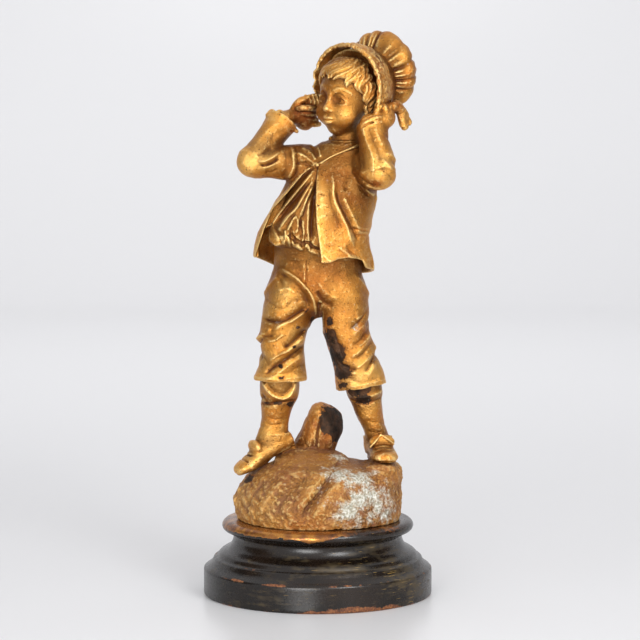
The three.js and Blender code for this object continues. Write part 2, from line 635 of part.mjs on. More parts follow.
// Features of a calm child's face by the usual proportions: [x, z, rise, width across, width up].
const FEATURES = [
  [0, -7, 5.6, 2.9, 2.8], [0, -1, 2.4, 2.2, 5], [7.8, -0.5, -3.2, 4.2, 3], [-7.8, -0.5, -3.2, 4.2, 3],
  [7.8, -1.2, 2, 2.6, 1.6], [-7.8, -1.2, 2, 2.6, 1.6], [0, -13.4, 2, 4.2, 1.5], [0, -17, 1.8, 3.4, 1.5],
  [0, -15.2, -1, 5, 0.8],
];
const BLEND = 3;

// Hair: the line where it ends, in degrees above the level of the eyes, in front and at the nape.
const FRINGE_RISE = 35;
const NAPE_RISE = -34;
const FRINGE_LOCKS = 15;
const HAIR_THICKNESS = 3;
const LOCK_RELIEF = 1.5;

// How far the hair stands out from the skull in a direction, in wavy locks that end in points.
function hairRise(direction) {
  const turn = Math.atan2(direction.x, -direction.y);
  const rise = THREE.MathUtils.radToDeg(Math.asin(direction.z));
  const away = smoothstep(Math.abs(turn), 0.5, 2.3);
  const wave = Math.cos(FRINGE_LOCKS * turn + 0.05 * rise + 1.5 * Math.sin(2 * turn));
  const line = FRINGE_RISE + (NAPE_RISE - FRINGE_RISE) * away - 6 * wave;
  return smoothstep(rise, line, line + 7) * (HAIR_THICKNESS + LOCK_RELIEF * wave);
}

// How far along a unit direction from the head's centre the ellipsoid's far side lies.
function reach([[x, y, z], [a, b, c]], direction) {
  const u = new THREE.Vector3(direction.x / a, direction.y / b, direction.z / c);
  const w = new THREE.Vector3(-x / a, -y / b, -z / c);
  const along = u.dot(w);
  const inside = along * along - u.lengthSq() * (w.lengthSq() - 1);
  return inside > 0 ? (Math.sqrt(inside) - along) / u.lengthSq() : 0;
}

function headRadius(direction) {
  const sum = SKULL.reduce((total, part) => total + Math.exp(reach(part, direction) / BLEND), 0);
  const radius = BLEND * Math.log(sum) + hairRise(direction);
  if (direction.y > -0.3) return radius;
  const [u, v] = [direction.x * radius, direction.z * radius];
  return FEATURES.reduce((r, [x, z, rise, across, up]) =>
    r + rise * Math.exp(-(((u - x) / across) ** 2) - (((v - z) / up) ** 2)), radius);
}

function head() {
  const skull = reshape(new THREE.SphereGeometry(1, 60, 36).rotateX(Math.PI / 2), (vertex) =>
    vertex.normalize().multiplyScalar(headRadius(vertex))).applyMatrix4(HEAD);
  const ears = [-1, 1].map((side) =>
    ball([side * 19.5, 2, -5], [2.6, 4, 5.6], { frame: HEAD, sides: 8, rings: 6 }));
  const underEar = inFrame(HEAD, [0, 5, -12]);
  const neck = limb([20, 4, 326], underEar, [[0, 13], [0.5, 11.4], [1, 12]], { sides: 14, rings: 4 });
  return join([solid(skull), ...ears, neck]);
}

// Bonnet

// The brim is a short band, open in front and cut away under the chin.
function brim() {
  const [outer, back] = [BRIM_RADIUS, BRIM_RADIUS - 2];
  const profile = [
    [outer - BRIM_THICKNESS, 0], [outer, 0], [outer + 0.4, BRIM_DEPTH / 2], [back, BRIM_DEPTH],
    [back - BRIM_THICKNESS, BRIM_DEPTH], [outer - BRIM_THICKNESS, BRIM_DEPTH / 2], [outer - BRIM_THICKNESS, 0],
  ].map(([r, s]) => new THREE.Vector2(r, s));
  const band = new THREE.LatheGeometry(profile, 36).applyMatrix4(BONNET);
  return solid(band).subtract(block([90, 60, 40], [0, 0, -37], [0, 0, 0], BONNET));
}

// The crown is a soft round puff, gathered into pleats where it meets the brim and at its back.
function crown() {
  const middle = new THREE.Vector3(0.6, 42, 7.4);
  const puff = reshape(new THREE.SphereGeometry(1, 54, 12), (vertex) => {
    const around = Math.atan2(vertex.z, vertex.x);
    const ring = Math.hypot(vertex.x, vertex.z);
    const pleat = 1 + 0.055 * Math.cos(CROWN_PLEATS * around) * smoothstep(ring, 0.2, 0.8);
    const depth = CROWN_HALF_DEPTH * (1.5 - 0.5 * ring);
    return new THREE.Vector3(
      CROWN_RADIUS * vertex.x * pleat, depth * vertex.y, CROWN_RADIUS * vertex.z * pleat,
    ).add(middle);
  }).applyMatrix4(BONNET);
  const neckStart = inFrame(BONNET, [0, BRIM_DEPTH - 2, 0]);
  const neck = limb(neckStart, inFrame(BONNET, [0, 34, 6]), [[0, BRIM_RADIUS - 2.5], [1, 21]], {
    sides: 28, rings: 2, across: inFrame(turnedFrame([0, 0, 0], HEAD_TURN, 0, 0), [1, 0, 0]),
  });
  const bow = [-1, 1].map((side) => ball([side * 7, 57, 8], [7, 3, 4], { frame: BONNET, sides: 8, rings: 6 }));
  return join([solid(puff), neck, ...bow]);
}

// Ends of the bonnet's lower edge: the left one hangs out behind the boy's left hand.
function ribbons() {
  const tail = frameAt([62.6, 3, 357], [0.47, 0.1, -0.85], [0.5, 0.8, 0.3]);
  return join([
    ball([0, 0, 0], [5.5, 3, 12.5], { frame: tail, sides: 10, rings: 8 }),
    strand([[52, -7, 361], [58, -2, 363], [63, 3, 358]], [4, 3.8, 3.4]),
    ball([-2, 15, 366], [7.5, 7, 6.5], { sides: 10, rings: 7 }),
  ]);
}

// The whole piece

function boyFigure() {
  return join([
    mound(), stump(), shoe(RIGHT_SHOE), shoe(LEFT_SHOE), stockings(), breeches(), shirt(), jacket(), collar(),
    sleeves(), cuffs(), rightHand(), leftHand(), head(), brim(), crown(), ribbons(),
  ]);
}

// The socle's turned profile as [radius, height]: drum, stepped shoulder, waist and rounded top rim.
const SOCLE_PROFILE = [
  [0, 0], [84.4, 0], [85.3, 1], [85.3, 19], [84, 20.4], [78.4, 25.6], [77.4, 27.4], [74.6, 28.6], [73.6, 31],
  [70.4, 33.6], [66, 36], [63.6, 39.4], [62.8, 43], [64, 45.6], [67.6, 47.4], [70.4, 49], [71.4, 51.4],
  [70.4, 54], [67.4, 55.6], [64, SOCLE_HEIGHT], [0, SOCLE_HEIGHT],
];

function socle() {
  const profile = SOCLE_PROFILE.map(([r, z]) => new THREE.Vector2(r, z));
  return new THREE.LatheGeometry(profile, SOCLE_SIDES).rotateX(Math.PI / 2);
}

const gilding = new THREE.MeshStandardMaterial({ color: '#b8802f', metalness: 0.9, roughness: 0.42 });
const blackLacquer = new THREE.MeshStandardMaterial({ color: '#1b1817', metalness: 0, roughness: 0.4 });

const figure = new THREE.Mesh(geometryOf(thinned(outerShell(boyFigure()), FIGURE_FACES)), gilding);
figure.name = 'boy_figure';

const base = new THREE.Mesh(socle(), blackLacquer);
base.name = 'wood_socle';

const statuette = new THREE.Group();
statuette.add(figure, base);

export default statuette;
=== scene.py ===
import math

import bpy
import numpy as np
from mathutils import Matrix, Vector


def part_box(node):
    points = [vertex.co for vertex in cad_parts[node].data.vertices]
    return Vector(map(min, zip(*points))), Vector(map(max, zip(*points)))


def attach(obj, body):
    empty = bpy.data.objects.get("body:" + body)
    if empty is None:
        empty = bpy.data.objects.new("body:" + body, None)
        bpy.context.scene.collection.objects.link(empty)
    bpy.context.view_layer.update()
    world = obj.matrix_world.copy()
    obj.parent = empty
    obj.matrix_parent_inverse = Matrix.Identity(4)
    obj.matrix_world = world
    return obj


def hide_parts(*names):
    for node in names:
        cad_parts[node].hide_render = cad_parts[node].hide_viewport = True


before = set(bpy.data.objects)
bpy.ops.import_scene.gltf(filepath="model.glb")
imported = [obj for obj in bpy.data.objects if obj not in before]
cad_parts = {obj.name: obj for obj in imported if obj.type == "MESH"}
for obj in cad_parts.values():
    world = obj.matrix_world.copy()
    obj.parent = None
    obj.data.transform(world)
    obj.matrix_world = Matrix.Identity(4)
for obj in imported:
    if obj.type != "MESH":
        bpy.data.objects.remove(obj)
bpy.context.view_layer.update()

# A gilt zinc statuette of a boy who holds a pleated bonnet over his head, on a turned wooden socle.
# The figure is modelled as one casting: forms are blended and cut on a fine grid of distances to the
# surface, in millimetres, and the grid is then skinned with a mesh. Origin at the centre of the
# socle's underside, +Z up, the boy's chest facing -Y, +X on the boy's left hand.

MM = 0.001

# Camera: its height and distance give the photograph's slight view from above.
CAMERA_PLACE = (1.7, -1950.0, 385.0)
CAMERA_TILT = 5.285
CAMERA_LENS = 148.16

# The sculpting grid: its corners and the distance between its points, then the distance that stands
# for empty space, and how far beyond its own box a form is worked out.
LOW = np.array([-68.0, -66.0, 52.0])
HIGH = np.array([77.0, 72.0, 424.0])
GRAIN = 0.64
FAR = 12.0
REACH = 3.2

# The figure's mesh: how many triangles are kept, and the pieces that they are parted into, upwards.
FIGURE_TRIANGLES = 560000
FIGURE_PIECES = ("gilt_mound", "gilt_legs", "gilt_coat", "gilt_head_and_bonnet")

# The foot of the mound stands on the socle, with a thin gap as its seat.
SEAT_GAP = 0.3
MOUND_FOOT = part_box("wood_socle")[1][2] / MM + SEAT_GAP

# The head turns to the boy's right and leans a little to his left.
HEAD_CENTRE = (21.5, 0, 370)
HEAD_TURN = -40
HEAD_LEAN = 7

# The bonnet's own frame: its axis runs back from the middle of the brim's front edge.
BONNET_MOUTH = (20.8, 2, 377)
BONNET_RISE = 6
BRIM_RADIUS = 31.5
BRIM_DEPTH = 18
BRIM_THICKNESS = 2.0
CROWN_RADIUS = 30.4
CROWN_HALF_DEPTH = 15
CROWN_PLEATS = 13


# Numbers

def smoothstep(value, low, high):
    share = np.clip((value - low) / (high - low), 0, 1)
    return share * share * (3 - 2 * share)


def smooth_min(a, b, blend):
    share = np.clip(0.5 + 0.5 * (b - a) / blend, 0, 1)
    return b + (a - b) * share - blend * share * (1 - share)


def dense(rows, step=0.25):
    """Rows [s, a, b, ...] on a smooth curve: fine steps of s, and the columns at them."""
    rows = np.array(rows, float)
    at, columns = rows[:, 0], rows[:, 1:]
    count = max(2, int(round((at[-1] - at[0]) / step)) + 1)
    s = np.linspace(at[0], at[-1], count)
    here = np.clip(np.searchsorted(at, s, side="right") - 1, 0, len(at) - 2)
    there = here + 1
    before, after = np.maximum(here - 1, 0), np.minimum(there + 1, len(at) - 1)
    width = (at[there] - at[here])[:, None]
    t = ((s - at[here])[:, None]) / width
    leave = (columns[there] - columns[before]) * width / (at[there] - at[before])[:, None]
    arrive = (columns[after] - columns[here]) * width / (at[after] - at[here])[:, None]
    values = (columns[here] * (1 + 2 * t) * (1 - t) ** 2 + leave * t * (1 - t) ** 2
              + columns[there] * t * t * (3 - 2 * t) + arrive * t * t * (t - 1))
    return s, values.T


def spline(points, per_span=6):
    """Points on a smooth curve through the given ones."""
    points = np.array(points, float)
    padded = np.vstack([2 * points[0] - points[1], points, 2 * points[-1] - points[-2]])
    t = np.linspace(0, 1, per_span, endpoint=False)[:, None]
    spans = [
        0.5 * (2 * b + (c - a) * t + (2 * a - 5 * b + 4 * c - d) * t ** 2 + (3 * b - a - 3 * c + d) * t ** 3)
        for a, b, c, d in zip(padded, padded[1:], padded[2:], padded[3:])
    ]
    return np.vstack(spans + [points[-1:]])


# Frames, as a turn and a place

def unit(vector):
    vector = np.array(vector, float)
    return vector / np.linalg.norm(vector)


def turn_about(axis, degrees):
    a, b = [(1, 2), (2, 0), (0, 1)][axis]
    turn = np.eye(3)
    cos, sin = math.cos(math.radians(degrees)), math.sin(math.radians(degrees))
    turn[a, a] = turn[b, b] = cos
    turn[a, b], turn[b, a] = -sin, sin
    return turn


def frame_at(point, along, across=(1, 0, 0)):
    """A frame with its Z along a direction and its X as near as it can be to another."""
    z = unit(along)
    y = unit(np.cross(z, across))
    return np.array([np.cross(y, z), y, z]).T, np.array(point, float)


def turned_frame(point, turn, lean, rise):
    return turn_about(2, turn) @ turn_about(0, rise) @ turn_about(1, lean), np.array(point, float)


WORLD = (np.eye(3), np.zeros(3))
HEAD = turned_frame(HEAD_CENTRE, HEAD_TURN, HEAD_LEAN, 0)
BONNET = turned_frame(BONNET_MOUTH, HEAD_TURN, 0, BONNET_RISE)


def out_of(place, points):
    turn, origin = place
    return np.asarray(points, float) @ turn.T + origin


class Grid:
    """Coordinates of a part of the sculpting grid, kept as three broadcasting arrays."""

    def __init__(self, x, y, z):
        self.x, self.y, self.z = x, y, z

    def within(self, place):
        if place is WORLD:
            return self.x, self.y, self.z
        turn, origin = place
        x, y, z = self.x - origin[0], self.y - origin[1], self.z - origin[2]
        return tuple(turn[0, i] * x + turn[1, i] * y + turn[2, i] * z for i in range(3))


class Form:
    """A form to model with: the box that it lies in and its distance function."""

    def __init__(self, low, high, gap, place=WORLD):
        corners = np.array([[x, y, z] for x in (low[0], high[0]) for y in (low[1], high[1])
                            for z in (low[2], high[2])])
        corners = out_of(place, corners)
        self.low, self.high, self.gap = corners.min(0), corners.max(0), gap


def noise(grid, size, seed):
    """Smooth uneven noise from -1 to 1, with lumps of about the given size."""
    draw = np.random.default_rng(seed)
    weights = []
    for axis in (grid.x, grid.y, grid.z):
        steps = axis.ravel() / size
        first = math.floor(steps[0])
        count = math.floor(steps[-1]) - first + 2
        cell = np.floor(steps).astype(int) - first
        share = smoothstep(steps - np.floor(steps), 0, 1)
        weight = np.zeros((len(steps), count), np.float32)
        weight[np.arange(len(steps)), cell] = 1 - share
        weight[np.arange(len(steps)), cell + 1] += share
        weights.append(weight)
    lattice = draw.uniform(-1, 1, [w.shape[1] for w in weights]).astype(np.float32)
    field = np.tensordot(weights[0], lattice, (1, 0))
    field = np.tensordot(field, weights[1], (1, 1)).transpose(0, 2, 1)
    return np.tensordot(field, weights[2], (2, 1))


# Clay: a block of the grid that forms are added to, cut from and carved on

# The sides that lines are drawn from: the axes across, up and out of the drawing, and the way out.
VIEWS = {"front": (0, 2, 1, -1), "back": (0, 2, 1, 1), "left": (1, 2, 0, -1), "right": (1, 2, 0, 1)}


class Clay:
    def __init__(self, low, high):
        self.first = np.maximum(np.floor((np.array(low, float) - LOW) / GRAIN).astype(int), 0)
        last = np.minimum(np.ceil((np.array(high, float) - LOW) / GRAIN).astype(int), SIZE)
        self.shape = tuple(last - self.first)
        self.gap = np.full(self.shape, FAR, np.float32)
        axes = [LOW[i] + GRAIN * (self.first[i] + np.arange(self.shape[i])) for i in range(3)]
        self.axes = [axis.astype(np.float32) for axis in axes]

    def window(self, low, high):
        start = np.floor((np.asarray(low) - LOW) / GRAIN).astype(int) - self.first
        stop = np.ceil((np.asarray(high) - LOW) / GRAIN).astype(int) + 1 - self.first
        return tuple(slice(*np.clip((a, b), 0, n)) for a, b, n in zip(start, stop, self.shape))

    def grid(self, window=(slice(None),) * 3):
        x, y, z = (axis[part] for axis, part in zip(self.axes, window))
        return Grid(x[:, None, None], y[None, :, None], z[None, None, :])

    def change(self, form, blend, rule):
        margin = max(blend, REACH) + GRAIN
        window = self.window(form.low - margin, form.high + margin)
        if min(s.stop - s.start for s in window) > 0:
            self.gap[window] = rule(self.gap[window], form.gap(self.grid(window)))
        return self

    def add(self, form, blend=0.4):
        return self.change(form, blend, lambda old, new: smooth_min(old, new, blend))

    def cut(self, form, blend=0.4):
        return self.change(form, blend, lambda old, new: -smooth_min(-old, new, blend))

    def join(self, other, blend=0.4):
        start = other.first - self.first
        window = tuple(slice(a, a + n) for a, n in zip(start, other.shape))
        self.gap[window] = smooth_min(self.gap[window], other.gap, blend)
        return self

    def keep_above(self, point, normal, blend=0.6):
        """Cuts away all that lies below a plane."""
        normal = unit(normal)
        grid = self.grid()
        height = sum(n * (axis - p) for n, axis, p in zip(normal, (grid.x, grid.y, grid.z), point))
        self.gap = -smooth_min(-self.gap, height, blend).astype(np.float32)
        return self

    def carve(self, **folds):
        """Raises ridges and sinks grooves along lines drawn on the block from one side."""
        slopes = np.gradient(self.gap, GRAIN)
        for view, lines in folds.items():
            across, up, out, sign = VIEWS[view]
            facing = smoothstep(sign * slopes[out], 0.05, 0.5)
            u, v = np.meshgrid(self.axes[across], self.axes[up], indexing="ij")
            sheet = sum(crease(u, v, *line) for line in lines)
            self.gap -= facing * np.expand_dims(sheet, out).astype(np.float32)
        return self

    def roughen(self, *lumps):
        """Each lump is (height, size, seed)."""
        for height, size, seed in lumps:
            self.gap -= height * noise(self.grid(), size, seed)
        return self


SIZE = np.ceil((HIGH - LOW) / GRAIN).astype(int)


def crease(u, v, line, rise, width, lean=0.0, fade=0.18):
    """The height of a fold along a line: it fades at both ends, and leans to one side of the line."""
    points = spline(line, 5)
    lengths = np.linalg.norm(np.diff(points, axis=0), axis=1)
    run = np.concatenate([[0], np.cumsum(lengths)]) / lengths.sum()
    nearest = np.full(u.shape, 1e9)
    along, side = np.zeros(u.shape), np.zeros(u.shape)
    for i, (a, b) in enumerate(zip(points, points[1:])):
        du, dv = b - a
        t = np.clip(((u - a[0]) * du + (v - a[1]) * dv) / (du * du + dv * dv), 0, 1)
        away = np.hypot(u - a[0] - t * du, v - a[1] - t * dv)
        closer = away < nearest
        nearest = np.where(closer, away, nearest)
        along = np.where(closer, run[i] + t * (run[i + 1] - run[i]), along)
        side = np.where(closer, np.sign(du * (v - a[1]) - dv * (u - a[0])), side)
    ends = smoothstep(along, 0, fade) * smoothstep(1 - along, 0, fade) if fade else 1
    spread = width * (1 + 0.6 * lean * side)
    return rise * ends * np.exp(-(nearest / spread) ** 1.3)


# Forms

def oval(x, y, rx, ry):
    """Roughly the distance from an ellipse."""
    share = np.hypot(x / rx, y / ry)
    steep = np.hypot(x / rx ** 2, y / ry ** 2)
    return (share - 1) * (share + 0.05) / (steep + 0.05 / np.minimum(rx, ry))


def column(rows, place=WORLD, cap=1.0):
    """A piece of oval section along an axis. Each row is [s, x, y, radius in x, radius in y]."""
    s, (cx, cy, rx, ry) = dense(rows)

    def gap(grid):
        x, y, z = grid.within(place)
        values = [np.interp(z, s, column).astype(np.float32) for column in (cx, cy, rx, ry)]
        wall = oval(x - values[0], y - values[1], values[2], values[3])
        ends = np.maximum(s[0] - z, z - s[-1])
        return -smooth_min(-wall, -ends, cap)

    low = ((cx - rx).min(), (cy - ry).min(), s[0])
    high = ((cx + rx).max(), (cy + ry).max(), s[-1])
    return Form(low, high, gap, place)


def limb(start, end, radii, across=(1, 0, 0), cap=1.0):
    """A column between two points, with radii as [share of the length, radius, radius across]."""
    along = np.array(end, float) - start
    length = np.linalg.norm(along)
    rows = [[share * length, 0, 0, radius, (rest or [radius])[0]] for share, radius, *rest in radii]
    return column(rows, frame_at(start, along, across), cap)


def ball(at, radii, place=WORLD):
    radii = np.broadcast_to(radii, 3)

    def gap(grid):
        x, y, z = (axis - p for axis, p in zip(grid.within(place), at))
        share = np.sqrt((x / radii[0]) ** 2 + (y / radii[1]) ** 2 + (z / radii[2]) ** 2)
        steep = np.sqrt((x / radii[0] ** 2) ** 2 + (y / radii[1] ** 2) ** 2 + (z / radii[2] ** 2) ** 2)
        return (share - 1) * (share + 0.05) / (steep + 0.05 / radii.min())

    return Form(np.array(at) - radii, np.array(at) + radii, gap, place)


def strand(points, radii, place=WORLD, per_span=5):
    """A tapered strand along a smooth curve: a lock of hair, a finger, a lip or a rolled edge."""
    points = out_of(place, spline(points, per_span))
    widths = dense([[i, r] for i, r in enumerate(radii)], 0.05)
    radius = np.interp(np.linspace(0, len(radii) - 1, len(points)), widths[0], widths[1][0])

    def gap(grid):
        nearest = None
        for a, b, ra, rb in zip(points, points[1:], radius, radius[1:]):
            run = b - a
            x, y, z = grid.x - a[0], grid.y - a[1], grid.z - a[2]
            t = np.clip((x * run[0] + y * run[1] + z * run[2]) / run.dot(run), 0, 1)
            away = np.sqrt((x - t * run[0]) ** 2 + (y - t * run[1]) ** 2
                           + (z - t * run[2]) ** 2) - ra - t * (rb - ra)
            nearest = away if nearest is None else np.minimum(nearest, away)
        return nearest

    return Form(points.min(0) - radius.max(), points.max(0) + radius.max(), gap)


def box(size, at, place=WORLD, rounding=0.5):
    half = np.array(size, float) / 2 - rounding

    def gap(grid):
        x, y, z = (np.abs(axis - p) - h for axis, p, h in zip(grid.within(place), at, half))
        outside = np.sqrt(np.maximum(x, 0) ** 2 + np.maximum(y, 0) ** 2 + np.maximum(z, 0) ** 2)
        return outside + np.minimum(np.maximum(np.maximum(x, y), z), 0) - rounding

    reach = half + rounding
    return Form(np.array(at) - reach, np.array(at) + reach, gap, place)


def outline_gap(x, z, points):
    """The distance from a closed outline of [x, z] points, negative within it."""
    nearest = np.full(np.broadcast(x, z).shape, 1e9)
    within = np.zeros(nearest.shape, bool)
    for (ax, az), (bx, bz) in zip(points, points[1:] + points[:1]):
        dx, dz = bx - ax, bz - az
        t = np.clip(((x - ax) * dx + (z - az) * dz) / (dx * dx + dz * dz), 0, 1)
        nearest = np.minimum(nearest, np.hypot(x - ax - t * dx, z - az - t * dz))
        if dz:
            crosses = ((az > z) != (bz > z)) & (x < ax + (z - az) * dx / dz)
            within ^= crosses
    return np.where(within, -nearest, nearest)


# Ground

# Each shoe's frame has its origin at the heel's lower back edge.
RIGHT_SHOE = frame_at((-15.1, 5, 108.1), (-0.346, -0.138, 0.929), (0.37, -0.93, 0))
LEFT_SHOE = frame_at((43.6, 26, 97.4), (0, 0.05, 1), (0.99, 0.14, 0))
MOUND_ROWS = [
    [MOUND_FOOT, 1, -1, 60, 58], [62, 0.5, -1, 62, 60], [72, 0.5, -1, 62.5, 60], [83, 3, -1, 59, 56],
    [92, 5.5, -1, 53, 49], [97, 0, -2, 38, 42], [98.6, -4.5, 0, 31, 36], [101, -6, 2, 28, 32],
    [103.4, -6.2, 4, 25, 27], [105.2, -7, 5, 21.5, 22], [107, -9, 6, 16, 16], [108.5, -10, 7, 10, 11],
]
LEDGE_ROWS = [
    [78, 44, -4, 17, 30], [86, 44.6, -4, 18, 33], [91, 45, -4, 18.2, 32.5], [95, 45.6, -4, 16.6, 30.5],
    [97.8, 46, -4, 13.5, 26], [99, 46, -4, 8, 16],
]


def mound():
    clay = Clay((-68, -66, 50), (70, 64, 114))
    clay.add(column(MOUND_ROWS, cap=0.6))
    clay.add(column(LEDGE_ROWS, cap=2.5), 2.5)
    clay.add(ball((45, -6, 97.2), (12, 24, 2.4)), 2)
    clay.add(ball((47, -26, 97), (10, 6, 3.2)), 3)
    clay.carve(
        front=[
            ([(20, 104), (14, 99), (7, 91), (0, 82), (-7, 74), (-13, 64)], -5.2, 2.4, 0.6),
            ([(24, 101), (16, 93), (9, 84), (2, 74), (-4, 62)], 2.0, 3.2, 0.3),
            ([(10, 101), (1, 92), (-7, 82), (-16, 70)], 2.4, 3.0, -0.3),
            ([(-4, 103), (-16, 97), (-31, 86), (-40, 72), (-44, 60)], 2.0, 3.6, -0.4),
            ([(-2, 100), (-14, 90), (-26, 76), (-31, 62)], -1.8, 2.6),
            ([(-10, 103), (-24, 97), (-38, 86)], -1.0, 2.0),
            ([(22, 98), (16, 86), (20, 72)], 1.2, 4),
            ([(34, 92), (41, 80), (38, 64)], -1.4, 3.4),
            ([(48, 92), (52, 80), (50, 66)], 1.2, 4),
            ([(-52, 92), (-57, 78), (-55, 64)], -1.4, 2.6),
        ],
        left=[([(-30, 92), (-34, 76), (-30, 62)], -1.8, 3), ([(-12, 94), (-14, 78), (-18, 62)], 1.6, 3.4),
              ([(10, 96), (14, 80), (8, 62)], 1.6, 4)],
        right=[([(-20, 86), (-24, 74), (-20, 62)], -1.4, 3), ([(24, 84), (30, 72), (26, 60)], 1.8, 4)],
        back=[([(-24, 98), (-30, 82), (-26, 60)], -2, 4), ([(18, 92), (24, 78), (16, 60)], 2, 5)],
    )
    # Light shows through under the arch of the right shoe.
    clay.cut(ball((-8, -21.5, -3.4), (17, 7.4, 6.2), RIGHT_SHOE), 2.5)
    # Turf: lumps upon lumps, down to crumbs, and slanting scrapes on the boy's right.
    clay.roughen((0.8, 8, 1), (0.5, 4.2, 2), (0.5, 2.4, 3), (0.5, 1.4, 4))
    grid = clay.grid()
    scrape = np.sin(1.1 * (0.62 * grid.x + 0.55 * grid.z) + 2.6 * noise(grid, 9, 5))
    scrape = scrape * smoothstep(noise(grid, 6, 6), -0.2, 0.5)
    clay.gap -= (0.65 * scrape * smoothstep(-grid.x, -8, 10) * smoothstep(-grid.y, -10, 10)).astype(np.float32)
    clay.keep_above((0, 0, MOUND_FOOT), (0, 0, 1), 0.4)
    clay.cut(column([[MOUND_FOOT - 4, 1, -1, 80, 80], [MOUND_FOOT, 1, -1, 80, 80]]), 0.2)
    return clay


STUMP_FOOT = (-7, 13, 96)
STUMP_HEAD = (10.4, 9, 138.6)
STUMP_CUT_POINT = (18.6, 7.2, 122.7)
STUMP_CUT_NORMAL = (-0.749, 0.530, -0.398)


def stump():
    clay = Clay((-34, -12, 84), (36, 36, 146))
    clay.add(limb(STUMP_FOOT, STUMP_HEAD,
                  [[0, 18.6, 16], [0.25, 15.4, 13.8], [0.6, 14.6, 13.6], [1, 14.2, 13.4]], cap=9.5))
    turn, origin = frame_at(STUMP_FOOT, np.subtract(STUMP_HEAD, STUMP_FOOT))
    x, y, z = clay.grid().within((turn, origin))
    around = np.arctan2(y, x)
    bark = np.sin(9 * around + 0.9 * np.sin(0.25 * z) + 2 * np.sin(2 * around)) * smoothstep(40 - z, 0, 14)
    clay.gap -= (0.24 * bark * smoothstep(np.hypot(x, y), 6, 10)).astype(np.float32)
    clay.roughen((0.5, 6, 7), (0.28, 2.4, 8), (0.12, 1.3, 9))
    clay.keep_above(STUMP_CUT_POINT, STUMP_CUT_NORMAL, 5.0)
    clay.carve(front=[([(-3, 102), (-1, 112), (0, 122), (3, 134)], -1.8, 0.9),
                      ([(-8, 100), (-4, 108), (-3, 116)], -0.8, 0.9)])
    return clay


# Shoes and stockings

# Rows along a shoe from heel to toe: [distance, height of the middle, half width, half height].
SHOE_ROWS = [
    [-1.2, 11.2, 4, 3.6], [0.6, 10.8, 7.4, 5.6], [4, 10.6, 9.4, 6.4], [13, 10.2, 10.4, 7.4],
    [21, 9.4, 9.8, 8.4], [28, 8.2, 9.2, 8.8], [34, 6.4, 9.6, 7.6], [40, 5, 10.2, 6.2], [46, 4.6, 9.4, 4.8],
    [50, 4.2, 6.6, 3.8], [51.8, 4, 3, 2.4],
]
# The quarters round the ankle, as rows up the shoe.
QUARTER_ROWS = [[5, 0, -12, 9.4, 12.6], [12, 0, -11.6, 10.6, 13], [19, 0, -11, 11, 12.6],
                [25, 0, -11.5, 10.6, 12]]


def shoe(place, tied):
    """A shoe whose toe points along -Y of its frame, with the heel's lower back edge at the frame's origin."""
    corners = out_of(place, [[x, y, z] for x in (-15, 15) for y in (-56, 6) for z in (-4, 28)])
    clay = Clay(corners.min(0), corners.max(0))
    s, (height, wide, tall) = dense(SHOE_ROWS)

    def upper(grid):
        x, y, z = grid.within(place)
        middle, half, deep = (np.interp(-y, s, column) for column in (height, wide, tall))
        wall = oval(x, z - middle, half, deep)
        ends = np.maximum(np.maximum(-z, y - 1.2), -y - s[-1])
        return -smooth_min(-wall, -ends, 1.2)

    low, rise = (17, 0.12) if tied else (15.2, 0.29)
    clay.add(Form((-12, -53, -1), (12, 3, 24), upper, place), 0.3)
    quarters = Clay(corners.min(0), corners.max(0))
    quarters.add(column(QUARTER_ROWS, place, 0.3))
    turn = place[0]
    quarters.keep_above(out_of(place, (0, 0, low)), turn @ np.array((0, -rise, -1)), 0.8)
    clay.join(quarters, 1.2)
    back = [-11 + 11.3 * math.cos(a) for a in np.linspace(0, 2 * math.pi, 13)]
    rim = [(9.7 * math.sin(a), y, low - rise * y) for a, y in zip(np.linspace(0, 2 * math.pi, 13), back)]
    clay.cut(strand(rim, [0.75, 0.75], place, 2), 0.4)
    # The waist between heel and ball arches up off the ground, and the heel is a block of its own.
    clay.cut(ball((0, -20.6, -1.0), (16, 6.4, 4.6), place), 0.8)
    clay.add(box((12.8, 14.6, 6.4), (0, -7.4, 3.0), place, 0.8), 0.2)
    heel_seam = [(-7.2, -15, 6.2), (-7.6, -7, 6.1), (-6.6, -0.6, 6.1), (0, 1, 6.1), (6.6, -0.6, 6.1),
                 (7.6, -7, 6.1), (7.2, -15, 6.2)]
    clay.cut(strand(heel_seam, [0.7, 0.7], place), 0.4)
    for side in (-1, 1):
        sole_edge = [(side * 8.8, -23, 2.6), (side * 9.4, -33, 2.0), (side * 9.8, -42, 1.9),
                     (side * 7.4, -48.8, 1.9), (0, -52, 1.9)]
        clay.cut(strand(sole_edge, [0.4, 0.5], place), 0.4)
    # A crease sets off the toe cap, and the tongue stands up in a roll over the instep.
    clay.cut(strand([(-9.8, -40, 3.4), (-6, -42, 8.6), (0, -43, 10.4), (6, -42, 8.6), (9.8, -40, 3.4)],
                    [0.5, 0.7, 0.5], place), 1.0)
    clay.add(ball((0, -30.6, 14.6), (9.6, 4.2, 5.8), place), 1.4)
    clay.cut(strand([(-10.4, -31, 12), (-7, -36, 11.4), (0, -38, 11), (7, -36, 11.4), (10.4, -31, 12)],
                    [0.6, 0.8, 0.6], place), 0.8)
    if tied:
        # The straps cross down from the middle of the instep to either side.
        for strap in ([(-1.3, -33.6, 20.4), (-5, -35, 16.4), (-9.6, -34, 11)],
                      [(-1.3, -33.6, 20.4), (3, -35.4, 17.6), (8.4, -34, 13.6)]):
            clay.add(strand(strap, [0.6, 0.9, 0.7], place), 0.9)
    else:
        clay.cut(strand([(-9.5, -32, 18.6), (-3, -34, 18.4), (3, -35, 16), (9.5, -34, 13.6)],
                        [0.5, 0.8, 0.8, 0.5], place), 0.6)
        clay.keep_above(out_of(place, (0, -2.4, 0)), turn @ np.array((0, -1, 0)), 2.0)
    clay.roughen((0.2, 2.4, 9))
    return clay


